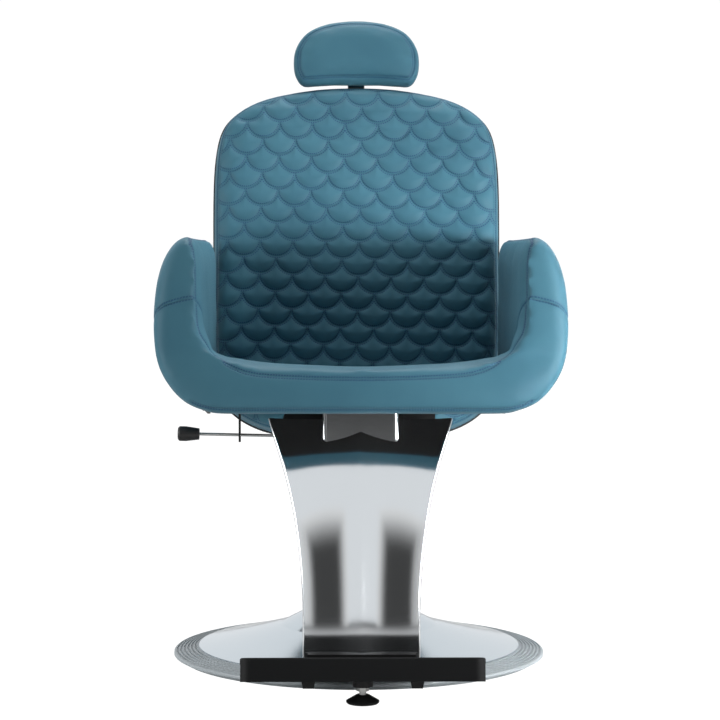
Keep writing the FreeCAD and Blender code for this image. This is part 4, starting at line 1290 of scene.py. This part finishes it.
    def headrest(self) -> None:
        """The headrest's pad and its rear cover."""
        piece = Bench.copy_of("headrest_cushion", "headrest_pad")
        Bench.plump(piece, self.head_voxel, (0.001, 0.005, 4.0), lambda spots: (
            self.upright(spots)[0] > self.upright(spots)[0].max() - 0.004).astype(float), 6)
        seams = Seams(piece)
        lift = self.length + self.head_gap
        line = self.seam_ring(seams, self.head_outline(), self.seam_inset, lift)
        seams.add_line(line, closed=True)
        seams.sew(0.0014)
        self.hand_over(piece, "headrest", "teal_leather", Finish.LEATHER, "headrest_cushion",
                       fill=0.9)
        cover = Bench.copy_of("headrest_cover", "headrest_rear")
        Bench.modify(cover, "REMESH", mode="VOXEL", voxel_size=self.cover_voxel)
        Bench.soften(cover, 3)
        Bench.modify(cover, "SUBSURF", levels=1, render_levels=1)
        Seams(cover).sew(0.0)
        self.hand_over(cover, "headrest", "teal_leather", Finish.LEATHER, "headrest_cover",
                       fill=0.7)

    def build(self) -> None:
        """Build the back and the headrest."""
        self.quilted_pad()
        self.shell()
        self.headrest()


@dataclass
class Metalwork(SubAssembly):
    """The nodes that keep their own shape and only get a finish."""

    finishes: dict[Finish, str] = field(default_factory=lambda: {
        Finish.GREY_RUBBER: "base_ring",
        Finish.CAST_IRON: "base_plate",
        Finish.SPUN_CHROME: "base_cover",
        Finish.BLACK_PAINT: (
            "pump_flange pump_body pump_gland pedal_bracket pedal_arm swivel_hub "
            "mount_plate seat_frame seat_board plate_mount_block foot_plate "
            "lever_bracket lever_guide hinge_plates gas_cylinder gas_front_bracket "
            "back_spring_bracket headrest_lug"),
        Finish.ZINC: (
            "flange_bolts pedal_pin mount_bolts foot_lock_nut foot_screw lever_rod "
            "lever_pin hinge_pins gas_front_pin back_pivot_tube back_spring_pin "
            "headrest_socket headrest_pin"),
        Finish.BLACK_PLASTIC: "pump_skirt lever_knob",
        Finish.BLACK_RUBBER: "pedal_pad foot_tread foot_pad",
        Finish.HARD_CHROME: "pump_ram gas_rod headrest_bar",
        Finish.BRASS: "thrust_washer swivel_bushes",
        Finish.PLYWOOD: "side_panels front_panel back_board headrest_board",
        Finish.POLISHED: "leg_plate leg_bracket",
        Finish.WELT: "back_trim"})

    def build(self) -> None:
        """Dress every node that is still shown."""
        for finish, names in self.finishes.items():
            for name in names.split():
                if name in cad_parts:
                    self.wardrobe.dress(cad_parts[name], finish)
                    log.info("%s: %s", name, finish.name.lower())


@dataclass
class Studio:
    """Floor, light and camera."""

    camera_place: tuple[float, float, float] = (-0.052, -3.4996, 0.65)
    picture_pixels: float = 720
    focus_pixels: float = 2125.0
    drop_pixels: float = 97.5
    roll_deg: float = 0.05
    sensor: float = 36.0
    floor_size: float = 40.0
    floor_grey: float = 0.86
    floor_glow: float = 1.26
    floor_share: float = 0.84
    dim: Colour = (0.035, 0.037, 0.039)
    mirrored: Colour = (0.84, 0.86, 0.88)
    seen: Colour = (1.02, 1.02, 1.02)

    def floor(self) -> None:
        """A pale floor that reads white to the camera and keeps the shadow."""
        Bench.clear()
        bpy.ops.mesh.primitive_plane_add(size=self.floor_size, location=(0, 0, 0))
        floor = bpy.context.active_object
        floor.name = "studio_floor"
        tree = Tree("studio_floor")
        base = tree.node("ShaderNodeBsdfDiffuse", inputs={"Color": (self.floor_grey,) * 3})
        glow = tree.node("ShaderNodeEmission", inputs={
            "Color": (1.0, 1.0, 1.0), "Strength": self.floor_glow})
        seen = tree.node("ShaderNodeLightPath", output="Is Camera Ray")
        mixed = tree.node("ShaderNodeMixShader", inputs={
            0: seen * self.floor_share, 1: base, 2: glow})
        tree.lead_out(mixed)
        floor.data.materials.append(tree.material)

    def world(self) -> None:
        """An even pale surround."""
        world = bpy.data.worlds.new("studio")
        bpy.context.scene.world = world
        world.use_nodes = True
        nodes, links = world.node_tree.nodes, world.node_tree.links
        nodes.clear()
        seen = nodes.new("ShaderNodeLightPath")
        mirrored_sky, sky = nodes.new("ShaderNodeMix"), nodes.new("ShaderNodeMix")
        mirrored_sky.data_type = sky.data_type = "RGBA"
        mirrored_sky.inputs[6].default_value = (*self.dim, 1)
        mirrored_sky.inputs[7].default_value = (*self.mirrored, 1)
        sky.inputs[7].default_value = (*self.seen, 1)
        back = nodes.new("ShaderNodeBackground")
        end = nodes.new("ShaderNodeOutputWorld")
        links.new(seen.outputs["Is Glossy Ray"], mirrored_sky.inputs[0])
        links.new(mirrored_sky.outputs[2], sky.inputs[6])
        links.new(seen.outputs["Is Camera Ray"], sky.inputs[0])
        links.new(sky.outputs[2], back.inputs["Color"])
        links.new(back.outputs["Background"], end.inputs["Surface"])

    def card(self, name: str, place: tuple[float, float, float],
             size: tuple[float, float], glow: float) -> None:
        """Stand a flat card behind the camera, facing the chair.

        Args:
            name: Its name.
            place: Its middle.
            size: Its width and height.
            glow: How bright it is; 0 is black.
        """
        Bench.clear()
        bpy.ops.mesh.primitive_plane_add(size=1.0, location=place,
                                         rotation=(math.pi / 2, 0, 0))
        card = bpy.context.active_object
        card.name = name
        card.scale = (size[0], size[1], 1)
        bpy.ops.object.transform_apply(location=True, rotation=True, scale=True)
        tree = Tree(name)
        parts = tree.node("ShaderNodeSeparateXYZ", inputs={0: tree.place()}, output="X")
        up = Link(tree, parts.socket.node.outputs["Z"])
        rise = tree.step(up, place[2] + size[1] * 0.1, place[2] + size[1] / 2)
        wide = tree.step(tree.math("ABSOLUTE", parts), size[0] * 0.25, size[0] / 2)
        level = tree.math("MAXIMUM", rise, wide) * (self.mirrored[0] - glow) + glow
        tree.lead_out(tree.node("ShaderNodeEmission", inputs={
            "Color": (1.0, 1.0, 1.0), "Strength": level}))
        card.data.materials.append(tree.material)

    def lamp(self, name: str, place: tuple[float, float, float],
             aim: tuple[float, float, float], size: float, power: float,
             spread_deg: float = 180.0) -> None:
        """Add one soft lamp.

        Args:
            name: Its name.
            place: Where it hangs.
            aim: Where it points.
            size: Its side.
            power: Its power in watts.
            spread_deg: How wide it throws its light.
        """
        light = bpy.data.lights.new(name, "AREA")
        light.shape = "SQUARE"
        light.size = size
        light.energy = power
        light.spread = math.radians(spread_deg)
        lamp = bpy.data.objects.new(name, light)
        lamp.location = place
        way = Vector(aim) - Vector(place)
        lamp.rotation_euler = way.to_track_quat("-Z", "Y").to_euler()
        bpy.context.scene.collection.objects.link(lamp)

    def camera(self) -> None:
        """The camera, where the photograph was taken from."""
        data = bpy.data.cameras.new("photo_camera")
        data.sensor_width = self.sensor
        data.lens = self.focus_pixels / self.picture_pixels * self.sensor
        data.shift_x = 1 / self.picture_pixels
        camera = bpy.data.objects.new("photo_camera", data)
        camera.location = self.camera_place
        pitch = math.atan(self.drop_pixels / self.focus_pixels)
        turn = math.atan2(-self.camera_place[0], -self.camera_place[1])
        camera.rotation_euler = (Matrix.Rotation(-turn, 3, "Z")
                                 @ Matrix.Rotation(math.pi / 2 - pitch, 3, "X")
                                 @ Matrix.Rotation(math.radians(self.roll_deg), 3, "Z")).to_euler()
        bpy.context.scene.collection.objects.link(camera)
        bpy.context.scene.camera = camera

    def build(self) -> None:
        """Set the studio up."""
        self.floor()
        self.world()
        self.card("dark_front", (0, -5.0, 1.9), (4.2, 4.2), 0.06)
        self.lamp("key", (2.3, -0.75, 0.80), (0.1, 0.0, 0.62), 0.9, 40.0)
        self.lamp("side", (1.6, -1.5, 0.5), (0.40, -0.12, 0.51), 0.5, 3.3, 34.0)
        self.lamp("fill", (-2.3, -0.9, 0.90), (0, 0, 0.62), 1.1, 33.0)
        self.lamp("top", (0.1, 0.40, 2.6), (0, 0.0, 0.7), 1.2, 42.0)
        self.camera()
        bpy.context.scene.view_settings.view_transform = "Standard"


def main() -> None:
    """Build the chair's looks in order."""
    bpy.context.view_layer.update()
    wardrobe = Wardrobe()
    for part in (SeatBand(wardrobe), SeatCushion(wardrobe), Backrest(wardrobe),
                 Metalwork(wardrobe)):
        log.info("building %s", type(part).__name__)
        part.build()
    Studio().build()
    Bench.clear()


if __name__ == "__main__":
    main()
